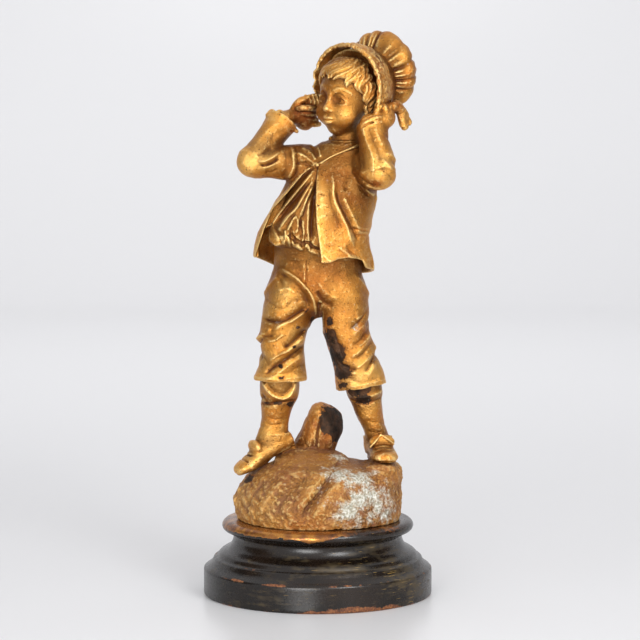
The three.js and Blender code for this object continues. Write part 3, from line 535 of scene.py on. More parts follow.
RIGHT_STOCKING = [
    [112, -34.3, -3, 13, 9], [117, -33.8, -3, 12.2, 9.2], [122, -33.1, -3, 11.2, 9.6],
    [131, -31.6, -2.5, 10.3, 11], [141, -30.2, -2, 12.2, 14], [148, -28.6, -3, 14.2, 15],
    [155, -28.2, -4.6, 14.6, 14.6], [168, -28, -6, 14.6, 14],
]
LEFT_STOCKING = [
    [106, 45.5, 12, 8.4, 9.4], [115, 44.6, 11.5, 8.8, 10], [122.5, 42.4, 10.5, 8.8, 10],
    [131, 39.2, 9.5, 10, 11.4], [141, 36.8, 8, 11.4, 13], [149.7, 34.8, 5.5, 13.4, 14], [168, 33, 2, 14, 14],
]


def stockings():
    right = Clay((-50, -24, 106), (-8, 16, 172))
    right.add(column(RIGHT_STOCKING))
    right.carve(
        front=[
            ([(-42, 161), (-37, 153), (-30, 148.5), (-24, 147.5), (-19, 151), (-15, 161)], 2.0, 1.7, 0.5, 0.1),
            ([(-38, 160), (-33, 154), (-26, 151.5), (-20, 156), (-18, 162)], -1.1, 1.4),
            ([(-46, 142.5), (-36, 143.5), (-26, 145.4), (-14, 146)], -1.6, 1.3, 0.4, 0),
            ([(-42, 151), (-38, 147), (-36, 143)], -0.8, 1.2),
            ([(-38, 133), (-30, 132), (-24, 133)], -0.45, 1.1),
            ([(-39, 129), (-33, 127.6), (-26, 128.4)], -0.4, 1.0),
        ],
        back=[([(-44, 150), (-30, 146), (-16, 150)], -1.2, 2),
              ([(-40, 124), (-31, 121), (-24, 124)], -0.5, 1.2)],
        left=[([(-12, 128), (-2, 125), (8, 128)], -0.5, 1.2), ([(-14, 150), (-2, 146), (10, 149)], -1.0, 2)],
    )
    left = Clay((20, -18, 100), (60, 28, 172))
    left.add(column(LEFT_STOCKING))
    left.carve(
        front=[
            ([(22, 147), (34, 142.6), (50, 147.5)], -1.3, 1.4, 0.3, 0),
            ([(20, 152), (30, 147), (44, 150), (52, 155)], 1.3, 1.6),
            ([(35, 130), (42, 128), (50, 129.5)], -0.5, 1.2),
            ([(36, 122), (43, 120), (50, 121.5)], -0.45, 1.0),
        ],
        back=[([(24, 148), (36, 143), (50, 148)], -1.2, 2)],
        right=[([(0, 128), (10, 125), (20, 128)], -0.5, 1.2)],
    )
    for clay in (right, left):
        clay.roughen((0.3, 6, 8), (0.12, 2, 9))
    return right, left


# Breeches

RIGHT_LEG = [
    [161, -27.6, -7, 20.2, 18.5], [166, -27.3, -7, 19, 17.8], [172.5, -26.6, -6.5, 17.2, 17.4],
    [183, -26.4, -6.5, 16.4, 17.4], [189, -26.6, -6, 17.2, 18], [196, -25.2, -4.6, 17.4, 18.6],
    [206, -22.4, -2.6, 19.2, 20], [216, -20.4, -0.6, 19.8, 21.4], [230, -17, 1, 19.2, 21.8],
    [246, -13, 1, 14, 16],
]
LEFT_LEG = [
    [148, 32.6, 1, 18.6, 18.6], [157, 32, 0, 18.8, 18.4], [167, 30.4, -1.5, 18.4, 17.8],
    [178, 27, -2.6, 17.2, 17.4], [186, 24.2, -2.6, 17.2, 17.6], [196, 21, -2, 17.6, 18.6],
    [206, 19.2, -0.6, 19, 19.8], [216, 18.4, 0.8, 19.6, 21], [230, 17, 1.6, 18, 21.6], [246, 13, 1, 14, 16],
]
HIPS = [
    [207, -1, 0, 5, 8], [213, -1.2, 1, 20, 17], [219, -1.2, 2, 33, 21.5], [226, -1.2, 2.6, 36, 24],
    [236, -1, 2.8, 33.8, 24.8], [246, 0.2, 2, 32.6, 23.6], [258, 0, 0.5, 32, 22], [270, 0, 0, 31, 21],
]


def breeches():
    right = Clay((-54, -34, 154), (6, 32, 252))
    right.add(column(RIGHT_LEG, cap=0.6))
    # The hem turns out a little over the stocking.
    right.carve(
        front=[
            ([(-50, 163.6), (-30, 163), (-6, 164.6)], 0.7, 1.4, 0, 0),
            ([(-50, 167.6), (-30, 167), (-6, 168.6)], -0.5, 1.0, 0, 0),
            ([(-42, 207), (-34, 205.2), (-26, 205.5), (-18, 209.8), (-6, 217)], -2.6, 1.9, 0.5),
            ([(-33, 198), (-27, 203.5), (-18, 207.5), (-7, 214)], 2.2, 2.2, -0.5),
            ([(-25, 216), (-18, 221), (-12, 220)], -0.8, 1.4),
            ([(-26, 185.5), (-21, 188.5), (-15.7, 192.8), (-8, 199.5)], -2.4, 1.6, 0.6),
            ([(-29, 181), (-20, 185), (-8, 194)], 1.5, 2.2, -0.4),
            ([(-40, 164), (-33.5, 170.5), (-24.9, 176.5), (-8, 188)], -2.5, 1.7, 0.6),
            ([(-42, 162), (-31, 166), (-21, 173.5), (-8, 181)], 1.6, 2.6, -0.3),
            ([(-48, 197), (-40, 194.4), (-32, 194.8)], -1.3, 1.3, 0.3),
            ([(-48, 201), (-42, 199), (-34, 199)], 0.9, 2.2),
            ([(-40, 222), (-32, 217), (-24, 215)], -0.8, 1.2, 0.4),
            ([(-30, 228), (-22, 230), (-16, 226)], 0.9, 1.4, -0.3),
            ([(-38, 190), (-31, 192), (-24, 197)], 1.1, 1.0, 0.4),
            ([(-36, 176), (-30, 180), (-22, 184)], 1.0, 1.0, 0.4),
            ([(-22, 204), (-16, 207.6), (-9, 213)], 1.2, 0.9, 0.4),
            ([(-20, 178), (-14, 182), (-9, 187)], -0.9, 0.9),
            ([(-47, 184), (-40, 180), (-36, 172)], -1.0, 1.8),
            ([(-20, 168), (-14, 172), (-8, 172)], -0.9, 1.6),
        ],
        left=[
            ([(-20, 198), (-8, 192), (4, 190.5), (14, 196)], 2.2, 2.4, 0.4),
            ([(-18, 194), (-4, 187), (12, 190)], -1.9, 1.8, -0.4),
            ([(-16, 176), (0, 182), (14, 177)], -1.8, 2.0, 0.4),
            ([(-26, 163.6), (0, 163.2), (20, 163.6)], 0.7, 1.4, 0, 0),
        ],
        back=[
            ([(-44, 198), (-36, 190), (-24, 188.5), (-12, 195)], -2.6, 2.0, 0.4),
            ([(-44, 190), (-28, 182), (-12, 187)], 1.8, 2.6),
            ([(-42, 178), (-28, 174), (-14, 180)], -1.6, 2.0),
            ([(-34, 238), (-26, 222), (-22, 208)], 1.2, 3.0),
            ([(-50, 163.6), (-30, 163), (-6, 163.6)], 0.7, 1.4, 0, 0),
        ],
    )
    right.cut(column([[150, -27.6, -7, 16.6, 15.4], [163, -27.6, -7, 16.6, 15.4], [166, -27.6, -7, 14, 13]],
                     cap=0.4), 0.8)

    left = Clay((4, -32, 142), (56, 32, 252))
    left.add(column(LEFT_LEG, cap=0.6))
    left.carve(
        front=[
            ([(23, 199), (29, 203.5), (36.3, 212.2), (40, 217)], -1.4, 1.2, 0.5),
            ([(25, 195), (32, 200), (41, 210)], 1.0, 2.0, -0.4),
            ([(34, 202), (38, 206), (40, 211)], -0.8, 1.0),
            ([(24, 178), (31, 183.1), (37.6, 191), (41, 199)], 1.2, 1.6, 0.5),
            ([(27, 177), (34, 182), (40, 190)], -1.0, 1.3, -0.4),
            ([(26, 187), (32, 192), (37, 199)], -0.7, 1.2),
            ([(34, 166), (38.3, 172.5), (42.2, 181.8), (43, 188)], -1.4, 1.3, 0.5),
            ([(36, 163), (42, 171), (45, 180)], 0.9, 2.0),
            ([(14, 178), (17.2, 173.2), (24.5, 169.8), (30, 170)], -1.6, 1.3, 0.5),
            ([(14, 173), (20, 168), (30, 166)], 1.0, 2.0),
            ([(24, 162), (34, 159.6), (46, 163)], -0.7, 1.3),
            ([(28, 206), (33, 209), (38, 214)], 0.8, 0.9, 0.4),
            ([(30, 186), (36, 191), (40, 196)], 0.9, 0.9, 0.4),
            ([(28, 170), (35, 175), (40, 180)], 0.8, 1.0, 0.4),
            ([(13, 196), (16, 186), (20, 176)], -0.8, 1.4),
            ([(10, 154), (32, 158), (54, 162)], 0.7, 1.3, 0, 0),
            ([(8, 190), (12, 184), (16, 180)], 1.0, 1.8),
        ],
        right=[
            ([(-16, 178), (-4, 185), (8, 185), (16, 180)], 2.0, 2.4, 0.4),
            ([(-16, 172), (0, 179), (14, 174)], -1.8, 1.8, 0.4),
            ([(-14, 200), (2, 206), (14, 200)], -1.2, 2.0),
        ],
        back=[
            ([(10, 197), (20, 189), (30, 188), (40, 195)], -2.6, 2.0, 0.4),
            ([(14, 187), (28, 180), (42, 186)], 1.8, 2.6),
            ([(18, 174), (32, 170), (46, 176)], -1.6, 2.0),
            ([(34, 238), (26, 222), (22, 208)], 1.2, 3.0),
        ],
    )
    left.keep_above((32.4, 0, 155.1), (-0.156, 0, 0.988), 0.5)
    left.cut(column([[140, 33.6, 1.5, 15.4, 15.2], [157, 32.6, 0.5, 15.2, 15], [161, 32, 0, 12, 12]], cap=0.4),
             0.8)

    hips = Clay((-44, -32, 200), (44, 34, 276))
    hips.add(column(HIPS, cap=1))
    hips.join(shared(right, hips), 5)
    hips.join(shared(left, hips), 5)
    hips.carve(
        front=[
            ([(-28, 244), (-23.5, 242.4), (-15, 237.2), (-9, 231), (-5.1, 226), (-1.8, 216.8), (-1, 208)],
             2.4, 1.7, -0.5, 0.12),
            ([(-30, 241), (-24, 238), (-17, 232), (-10, 224), (-6, 214)], -1.7, 1.9, 0.4),
            ([(-31, 239), (-27, 234), (-25, 226)], -0.9, 1.4),
            ([(-1, 229), (2, 223), (6, 218.6), (12, 216)], -1.8, 1.6, 0.4),
            ([(0, 236), (4, 229), (12, 223), (17, 222)], 0.9, 2.2),
            ([(-8.9, 258), (-8.5, 246), (-8.2, 226)], -0.5, 0.6, 0, 0.1),
            ([(-10.4, 258), (-10, 246), (-9.6, 228)], 0.3, 0.9, 0, 0.1),
            ([(1, 220), (0.6, 212), (0.6, 204)], -2.0, 1.6, 0, 0.1),
        ],
        back=[
            ([(0, 262), (1, 244), (0, 226), (0, 210)], -2.6, 2.4, 0, 0.12),
            ([(-30, 224), (-18, 216), (-4, 216)], -1.6, 2.2),
            ([(32, 224), (20, 216), (4, 216)], -1.6, 2.2),
            ([(-26, 250), (-14, 240), (-4, 226)], 1.0, 2.4),
        ],
        right=[([(-14, 240), (-4, 228), (8, 222)], 1.1, 2.6)],
        left=[([(-14, 240), (-4, 228), (8, 222)], 1.1, 2.6)],
    )
    for clay in (right, left, hips):
        clay.roughen((0.4, 8, 10), (0.22, 3, 11))
    return right, left, hips


def shared(source, target):
    """The part of one block that lies within another."""
    low = LOW + GRAIN * np.maximum(source.first, target.first)
    high = LOW + GRAIN * (np.minimum(source.first + source.shape, target.first + target.shape))
    piece = Clay(low + 0.01 * GRAIN, high - 0.01 * GRAIN)
    start = piece.first - source.first
    piece.gap = source.gap[tuple(slice(a, a + n) for a, n in zip(start, piece.shape))].copy()
    return piece


# Shirt and jacket

TORSO = [
    [250, 1, -1, 31, 21], [262, -1, -2.4, 31, 22], [276, 1, -2.4, 31, 21], [290, 5, -0.8, 31, 20.5],
    [304, 9, 1, 30, 20.5], [316, 11, 2.6, 28, 19], [326, 12.5, 3.6, 25, 16.5], [333, 17, 4, 18, 13],
    [338, 20, 4, 13, 12],
]
SHIRT_PUFF = [
    [259, -17, -8, 10, 11], [261.5, -18, -9, 15, 14], [266, -19, -9.5, 17.5, 15.8],
    [275, -18, -8.5, 16.5, 15.2], [288, -13, -7, 12, 14], [302, -6, -6, 7, 12],
]
# Folds fan out from the collar to the shirt's hem, sharper and deeper towards the boy's right.
SHIRT_FOLDS = [
    ([(0, 321), (-7.4, 311.4), (-16.6, 300.3), (-25.1, 289.8), (-34.2, 278.1), (-38, 268)], 2.6, 2.1, 0.7),
    ([(0, 317), (-5, 308), (-10.7, 298.3), (-16.6, 287.9), (-23.8, 281.4), (-30, 270)], 2.4, 2.0, 0.7),
    ([(-3, 309), (-7.4, 302.3), (-13.3, 290.6), (-17.9, 281.4), (-24, 270)], 2.0, 1.9, 0.6),
    ([(-2, 310), (-3.5, 306.2), (-8.1, 293.1), (-11.4, 282), (-10.1, 270.9), (-9, 262)], 2.0, 1.8, 0.6),
    ([(0, 316), (-4, 309), (-12, 300), (-21, 290), (-30, 277)], -2.0, 1.4, 0),
    ([(-2, 309), (-9, 298), (-15, 287), (-21, 279)], -1.7, 1.2, 0),
    ([(-2, 304), (-7, 294), (-10.5, 284), (-14.5, 272)], -1.8, 1.3, 0),
    ([(0.4, 314), (-1.5, 302), (-3.6, 288), (-4.6, 276), (-4, 264)], -3.4, 1.9, 0),
    ([(-6, 296), (-6.8, 286), (-7, 274), (-6, 262)], 1.4, 1.1, 0),
    ([(-16, 284), (-14, 277), (-16, 270)], 1.2, 1.0, 0),
    ([(-30, 272), (-26, 268), (-22, 262)], -1.2, 1.2, 0),
    ([(-20, 272), (-17, 267), (-17, 260)], -1.2, 1.1, 0),
    ([(-12, 270), (-12, 265), (-11, 258)], -1.0, 1.0, 0),
    ([(-24, 270), (-21, 266), (-20, 259)], 0.6, 1.1, 0),
    ([(-5.6, 268), (-5, 262), (-5, 257)], -0.8, 0.8, 0),
]


def shirt():
    torso = Clay((-36, -30, 246), (46, 30, 342))
    torso.add(column(TORSO))
    torso.add(column(SHIRT_PUFF, cap=2.5), 2.0)
    # The hem is bunched into a few loose rolls over the waistband.
    torso.add(ball((-12, -20, 264), (8, 4.4, 5)), 3)
    hem = [(-34.5, -14, 268.5), (-31, -18.4, 263.2), (-26, -21.6, 263.4), (-21.6, -23.4, 265.2),
           (-16.6, -23.8, 262.2), (-12, -23.6, 259.8), (-8, -23, 260.8), (-4, -22.6, 257.4),
           (1, -22.4, 255.6)]
    torso.add(strand(hem, [1.2, 1.8, 1.4, 2.0, 1.6, 1.9, 1.5, 1.7, 1.2]), 1.6)
    torso.cut(strand([(x + 0.6, y - 0.6, z + 3.4) for x, y, z in hem[1:]],
                     [0.5, 1.0, 0.5, 1.1, 0.5, 1.0, 0.6, 0.5]), 1.2)
    torso.carve(
        front=SHIRT_FOLDS + [
            ([(-1, 318), (-10, 307), (-20, 295), (-29, 284), (-36, 273)], 1.0, 0.8, 0.4),
            ([(-2, 312), (-8, 302), (-14, 292), (-20, 285), (-27, 275)], 1.0, 0.8, 0.4),
            ([(-3, 306), (-8, 296), (-12, 286), (-16, 274)], 0.9, 0.8, 0.3),
            ([(-33, 276), (-29, 270), (-27, 262)], -1.1, 0.8, 0.3),
            ([(-19, 276), (-20, 269), (-19, 260)], -1.2, 0.8, 0.3),
            ([(-9, 272), (-10, 265), (-10, 257)], -1.2, 0.8, 0.3),
            ([(-24, 274), (-24, 268), (-25, 262)], 1.1, 0.8, 0.3),
            ([(-10, 330), (-4, 326), (2, 321)], -1.2, 1.4), ([(-14, 326), (-8, 322), (0, 319)], 1.1, 1.3)],
        back=[([(8, 330), (4, 300), (0, 262)], -0.8, 2)],
    )
    torso.roughen((0.25, 5, 12), (0.12, 2, 13))
    return torso


JACKET = [
    [232, -2.4, 1.6, 44, 30.4], [243, -2.8, 1, 44.6, 29.6], [250, -3.4, 0, 44.6, 28.4],
    [262, -4, -1.8, 42.6, 26.4], [275, -1.8, -2.2, 40.4, 25], [290, 4, -0.6, 37.8, 24.6],
    [304, 9.6, 1.6, 34.6, 24], [318, 11.4, 3.4, 30.6, 21.4], [327, 13, 4.4, 25.4, 18],
    [334, 17, 4.4, 18.6, 14.8], [337, 18.5, 4.4, 15.5, 13.4],
]
JACKET_THICKNESS = 2.6
# The right front hangs open at the boy's side; the left front lies over the shirt.
JACKET_OPENING = [
    (0.5, 322), (-11.4, 312.6), (-21.8, 300.2), (-32.9, 287.8), (-39.2, 273.4), (-45.5, 254.4), (-48, 228),
    (5, 228), (1.8, 258), (-0.9, 277), (-1.6, 293), (-0.9, 311),
]
# The left front's hem rises towards its middle and drops at the side.
JACKET_HEM = [(3, 226), (4.5, 247.2), (9, 249), (15, 251.6), (22, 252.4), (29, 251.6), (33, 249.8), (35.6, 243),
              (36.4, 226)]
BUTTONHOLES = [(1.7, 299.4), (1.6, 290.6), (1.8, 282.6), (2.8, 274), (4.0, 265.4)]


def jacket():
    clay = Clay((-54, -36, 226), (52, 38, 344))
    clay.add(column(JACKET, cap=2))
    clay.carve(
        front=[
            ([(10, 316), (11.5, 307), (12.1, 297.2), (17.3, 284.8), (22, 275), (25.1, 265.1), (28, 258)],
             2.4, 2.6, -0.5),
            ([(13.5, 304), (15.6, 294), (20.6, 283), (26, 272), (30, 264)], -1.8, 2.0, 0.3),
            ([(18, 300), (23, 289), (29, 277), (33, 268)], 1.5, 2.5, -0.4),
            ([(8, 304), (8.4, 294), (13, 283), (18, 272)], -1.0, 1.6, 0.2),
            ([(36, 316), (35, 309), (39, 304), (45, 300)], -2.0, 1.5, 0.3),
            ([(33, 306), (37, 301), (43, 297)], 1.4, 1.6),
            ([(30, 311), (33, 303), (38, 297)], -1.2, 1.3),
            ([(26, 318), (22, 308), (20, 300)], -1.4, 2.6),
            ([(-22, 330), (-15, 325), (-8, 318)], 1.4, 1.8),
            ([(-14, 333), (-9, 327), (-4, 320)], -1.2, 1.5),
            ([(-7, 335), (-4, 329), (-1, 323)], 1.0, 1.3),
            ([(22, 274.4), (30, 273), (40, 270.6)], -0.6, 0.8, 0, 0.1),
            ([(22, 276), (30, 274.6), (40, 272.2)], 0.25, 1.0, 0, 0.1),
            ([(14, 262), (22, 255), (30, 248)], 1.3, 2.4, 0.3),
            ([(20, 262), (28, 254), (36, 250)], -0.8, 1.8),
            ([(2.6, 256), (10, 250), (20, 246)], 0.9, 1.6),
            ([(4, 312), (2.6, 300), (3, 284), (5, 266), (7, 252)], 0.4, 2.6),
            ([(36, 262), (40, 252), (40, 242)], -0.9, 2.0),
            ([(-40, 270), (-43, 258), (-45, 246)], 0.8, 1.8),
        ],
        back=[
            ([(8, 334), (6, 312), (2, 290), (-2, 262), (-3, 240)], -1.1, 0.9, 0, 0.06),
            ([(-24, 320), (-16, 300), (-13, 280), (-14, 262)], 2.0, 2.4, 0.4),
            ([(-20, 314), (-11, 294), (-8, 272)], -1.3, 2.0),
            ([(38, 316), (30, 298), (26, 278), (27, 262)], 2.0, 2.4, -0.4),
            ([(33, 312), (24, 294), (20, 272)], -1.3, 2.0),
            ([(-34, 292), (-27, 272), (-28, 250)], -1.7, 2.2, 0.3),
            ([(37, 292), (35, 272), (36, 250)], -1.7, 2.2, 0.3),
            ([(-38, 268), (-20, 266), (0, 264), (20, 265), (38, 268)], -0.8, 1.0, 0, 0.1),
            ([(-16, 260), (-18, 248), (-22, 236)], 1.3, 2.4),
            ([(14, 260), (16, 248), (20, 236)], 1.3, 2.4),
            ([(-6, 258), (-7, 248), (-8, 236)], -1.0, 2.0),
        ],
        left=[
            ([(-8, 306), (-2, 290), (-4, 270)], -1.2, 2.2),
            ([(6, 300), (8, 280), (6, 252)], 1.2, 2.6),
            ([(-14, 262), (-8, 250), (-10, 238)], -0.9, 2.0),
        ],
        right=[
            ([(-6, 300), (0, 286), (-2, 270)], 1.4, 2.4),
            ([(6, 304), (10, 286), (8, 262)], -1.3, 2.2),
            ([(-10, 262), (-6, 250), (-8, 240)], 1.2, 2.4),
            ([(-20, 269), (0, 268), (18, 267)], -0.8, 1.0, 0, 0.1),
        ],
    )
    clay.roughen((0.4, 9, 14), (0.18, 3, 15))
    for x, z in BUTTONHOLES:
        clay.cut(strand([(x - 1.4, -30, z + 0.2), (x - 1.4, -20, z + 0.2)], [0.1, 0.1]), 0.2)
    outside = clay.gap.copy()
    lining = -(outside + JACKET_THICKNESS)
    grid = clay.grid()
    hollow = smoothstep(-grid.z, -282, -272)
    lining = lining * hollow - 20 * (1 - hollow)
    clay.gap = -smooth_min(-clay.gap, -lining, 0.8)
    opening = outline_gap(grid.x[:, :, 0], grid.z[0], JACKET_OPENING)[:, None, :]
    front_only = np.maximum(opening, grid.y - 5)
    clay.gap = -smooth_min(-clay.gap, front_only, 0.9)
    hem = outline_gap(grid.x[:, :, 0], grid.z[0], JACKET_HEM)[:, None, :]
    clay.gap = -smooth_min(-clay.gap, np.maximum(hem, grid.y + 4), 1.0)
    clay.keep_above((0, 0, 243.5), (0.0523, 0.199, 0.9786), 1.0)
    clay.keep_above((-33.0, 0, 244.0), (0.4695, 0, 0.8829), 1.0)
    clay.gap = clay.gap.astype(np.float32)
    return clay


def jacket_trim(clay):
    """Buttonholes, and the small collar that stands open at the neck."""
    for x, z in BUTTONHOLES:
        front = -24.5 + 0.06 * abs(z - 285)
        clay.cut(strand([(x - 1.2, front, z), (x + 3.0, front - 0.2, z - 0.6)], [0.6, 0.6]), 0.2)
    clay.add(strand([(1, -16, 321), (10, -16.4, 326.4), (20, -13.4, 330.6), (30, -8, 334.6), (34, 2, 337)],
                    [0.5, 0.6, 0.7, 1.0, 1.2]), 2.2)
    # Folds gather from the boy's right shoulder to the collar's knot.
    clay.carve(front=[
        ([(-2, 320), (-8, 326), (-16, 329), (-21, 325)], 1.3, 1.8, 0.4),
        ([(-1, 323), (-6, 330), (-13, 333.4)], 1.1, 1.7, 0.4),
        ([(-3, 318), (-10, 321.4), (-17, 321)], -1.3, 1.4), ([(0, 325), (-3, 331), (-8, 336)], -1.2, 1.3),
        ([(2, 325), (1, 331), (-2, 336)], 1.2, 1.3, 0.3),
    ])
    clay.add(strand([(10, 4, 339), (14, 13, 338), (22, 15.5, 338), (30, 11, 338), (34, 2, 337)],
                    [2.0, 2.4, 2.6, 2.4, 1.8]), 1.2)
    clay.cut(strand([(3, -19, 320.4), (11, -18.8, 324.6), (21, -16, 328.6), (31, -10.4, 332.4)],
                    [0.4, 0.5, 0.5, 0.4]), 0.6)
    clay.add(ball((-0.4, -17.2, 320.4), (1.5, 1.4, 1.5)), 1.0)


# Arms

RIGHT_SHOULDER = (-4, 4, 321)
RIGHT_ELBOW = (-47, -10, 322.5)
RIGHT_WRIST = (-26, 6, 352.5)
LEFT_SHOULDER = (29, 3, 320)
LEFT_ELBOW = (44.5, -22, 314.5)
LEFT_WRIST = (39.6, -11, 350)


def sleeves():
    right = Clay((-66, -30, 298), (16, 26, 368))
    right.add(limb(RIGHT_SHOULDER, RIGHT_ELBOW, [[0, 15, 14], [0.35, 13.6], [0.7, 11.8], [1, 12]], cap=3))
    right.add(ball(RIGHT_ELBOW, (12.6, 12.2, 12)), 2)
    right.add(limb(RIGHT_ELBOW, RIGHT_WRIST, [[0, 12.2], [0.35, 10.6], [0.7, 10.8], [1, 12.2, 11.4]], cap=1),
              1.6)
    right.carve(
        front=[
            ([(-20, 335), (-18, 327), (-18, 318), (-22.5, 308)], 1.5, 2.6, 0.7),
            ([(-16.6, 335), (-14.4, 326), (-15, 316), (-18.6, 307)], -1.3, 1.6),
            ([(-24, 332), (-22.4, 324), (-23, 316), (-27, 310)], -0.8, 1.8),
            ([(-45, 324), (-40, 322.6), (-34, 325), (-27, 330)], 2.0, 1.2, 0.5),
            ([(-43, 321), (-39, 319.8), (-33, 321.8), (-28, 326)], -1.8, 1.0, 0.4),
            ([(-40, 318.4), (-35, 319.6), (-30, 322)], 1.0, 1.1, 0.3),
            ([(-39, 315), (-34, 315.4), (-29, 317.4)], -0.8, 1.2),
            ([(-45, 327), (-38, 329.6), (-33, 333)], -1.1, 1.3),
            ([(-40, 310), (-31, 309.4), (-24, 311)], 0.6, 1.8),
            ([(-48, 331), (-41, 341), (-33, 349), (-25, 352)], 0.9, 2.6, 0.3),
            ([(-36, 337), (-30, 343), (-22, 347)], -0.6, 2.0),
        ],
        back=[
            ([(-24, 334), (-26, 322), (-23, 309)], -1.6, 2.0, 0.3),
            ([(-19, 334), (-20, 322), (-18, 309)], 1.2, 2.2),
            ([(-52, 331), (-43, 325), (-33, 327)], 1.4, 2.0, 0.4),
            ([(-50, 326), (-42, 320), (-33, 321)], -1.2, 1.8),
            ([(-52, 338), (-42, 343), (-34, 352)], -0.8, 2.2),
        ],
    )
    left = Clay((8, -44, 294), (66, 26, 368))
    left.add(limb(LEFT_SHOULDER, LEFT_ELBOW, [[0, 14.5, 14], [0.5, 13.6], [1, 13]], cap=3))
    left.add(ball(LEFT_ELBOW, (13, 12.4, 12.6)), 2)
    left.add(limb(LEFT_ELBOW, LEFT_WRIST, [[0, 13.2], [0.3, 12.8], [0.65, 11.2], [1, 12, 11]], cap=1), 1.6)
    left.carve(
        front=[
            ([(32, 351), (34, 342), (37.6, 333), (40.4, 323), (40, 311)], 1.3, 2.2, -0.4, 0.14),
            ([(36, 350), (39.6, 340), (44, 331), (46, 322)], -1.0, 1.8, 0.3, 0.14),
            ([(41, 349), (44.6, 341), (48, 334)], 0.7, 1.9),
            ([(30, 334), (33, 325), (34, 315)], -0.8, 1.8),
            ([(31, 312), (36, 308), (42, 305)], -1.2, 1.5),
            ([(34, 306), (40, 303.6), (47, 303)], 0.9, 1.8),
            ([(46, 326), (52, 321), (55, 315)], 0.8, 1.8),
            ([(45, 319), (51, 315), (55, 309)], -0.8, 1.6),
        ],
        back=[
            ([(36, 332), (46, 324), (56, 318)], -1.5, 2.0, 0.3),
            ([(34, 326), (44, 318), (54, 312)], 1.2, 2.2),
            ([(36, 344), (44, 338), (52, 336)], -0.8, 2.0),
        ],
        right=[
            ([(-30, 330), (-20, 324), (-10, 326)], 1.2, 2.2),
            ([(-28, 324), (-18, 317), (-8, 319)], -1.3, 2.0),
            ([(-22, 344), (-14, 338), (-6, 340)], -0.8, 2.0),
        ],
    )
    for clay in (right, left):
        clay.roughen((0.35, 7, 16), (0.16, 2.6, 17))
    return right, left


def right_hand():
    clay = Clay((-40, -8, 334), (14, 32, 380))
    clay.add(limb(RIGHT_WRIST, (-14, 12, 357), [[0, 7], [0.6, 5.9], [1, 6.8]], cap=2))
    clay.add(ball((-9.5, 14.5, 355.5), (8.6, 8.5, 10.5)), 3)
    for x, y, z in [(-15, 6, 361), (-15.5, 8.5, 357), (-14.5, 11, 353), (-12.5, 13.5, 349.5)]:
        finger = [(x - 2, y + 5, z), (x + 1, y + 0.4, z + 0.2), (x + 4.6, y - 2, z + 0.6),
                  (x + 10, y - 1, z + 0.4), (x + 13.5, y + 3, z)]
        clay.add(strand(finger, [2.4, 2.7, 2.4, 2.5, 1.9]), 0.7)
        clay.add(ball((x + 4.4, y - 1.6, z + 0.7), (2.7, 2.4, 2.5)), 0.6)
    clay.add(strand([(-18, 10, 358), (-17, 9, 362), (-13, 7.4, 366.5), (-7, 9, 369)], [3.2, 3.0, 3.0, 2.2]),
             0.8)
    # Cloth bunched in the fist, with the twist of its gathers.
    clay.add(ball((-2, 15, 366), (7.5, 7, 6.5)), 1.0)
    for i in range(5):
        clay.add(strand([(-9 + 2.6 * i, 9.4, 371), (-8 + 2.9 * i, 8, 366), (-9.4 + 3.2 * i, 9.6, 361)],
                        [0.9, 1.5, 0.9]), 0.8)
    clay.roughen((0.2, 2.4, 18))
    return clay


def left_hand():
    clay = Clay((28, -28, 340), (76, 26, 384))
    clay.add(limb(LEFT_WRIST, (47, -9, 354), [[0, 7.4], [1, 7.6]], cap=2))
    clay.add(ball((49.6, -7.4, 355), (7.6, 7.6, 8.4)), 2.5)
    for i in range(4):
        x, y = 49 + 1.6 * i, -9.6 + 3.4 * i
        finger = [(x - 1, y + 2, 352), (x + 0.6, y - 1.6, 356.4), (x + 0.2, y - 2.4, 361.6),
                  (x - 2.6, y + 0.4, 364.6), (x - 5, y + 3, 363)]
        clay.add(strand(finger, [3.0, 2.7, 2.5, 2.2, 1.8]), 0.6)
        clay.add(ball((x + 0.5, y - 2, 360.6), (2.6, 2.3, 2.5)), 0.6)
    clay.add(strand([(45, -12, 351), (43.4, -14, 355), (43.4, -14.4, 359.6), (46, -13.6, 363)],
                    [3.2, 2.9, 2.6, 2.0]), 0.8)
    clay.roughen((0.15, 2.4, 19))
    return clay


def cuffs(clay):
    edges = [
        ([(-37, 4, 356.5), (-33, -1, 354.5), (-24, -1.5, 350), (-15.5, 3, 344.5)], [1.5, 1.9, 1.9, 1.5]),
        ([(-37, 4, 356.5), (-34, 7, 358.8), (-31, 8, 356.8), (-28, 8, 358.4), (-25, 10, 355)],
         [1.4, 2.2, 2.0, 2.2, 1.4]),
        ([(-35, 2, 357), (-32, 1.4, 355.4), (-29, 2, 357.2), (-26, 2.5, 354), (-22, 3, 353)],
         [1.2, 1.8, 1.7, 1.8, 1.0]),
        ([(30.5, -15, 347), (35, -20.5, 351), (42, -19.5, 354.5), (48, -16, 355)], [1.5, 2, 2, 1.5]),
        ([(30.5, -15, 347), (35, -16, 354.5), (43, -15, 356)], [1.6, 2.4, 1.8]),
        ([(31, -17, 349), (34.5, -18.6, 353.4), (39, -18.8, 356)], [1.0, 1.6, 1.0]),
    ]
    clay.add(ball((47.5, -12, 352.5), (7.5, 5.5, 6.5)), 2)
    for points, radii in edges:
        clay.add(strand(points, radii), 1.1)
    clay.cut(strand([(-34, -2.6, 352.4), (-25, -3.6, 348), (-17, 0.6, 343)], [0.6, 0.7, 0.6]), 0.5)
    clay.cut(strand([(32, -21, 347.6), (38, -22.4, 351), (45, -18.6, 351.6)], [0.6, 0.7, 0.6]), 0.5)


# Head

# The skull in the head's frame: ellipsoids as (middle, radii), which blend where they meet.
SKULL = [((0, 3, 6), (20, 23, 21)), ((0, -4.5, -8.5), (16.4, 15.6, 18.4))]
SKULL_BLEND = 3
FRINGE_RISE = 37
NAPE_RISE = -34
HAIR_THICKNESS = 2.2


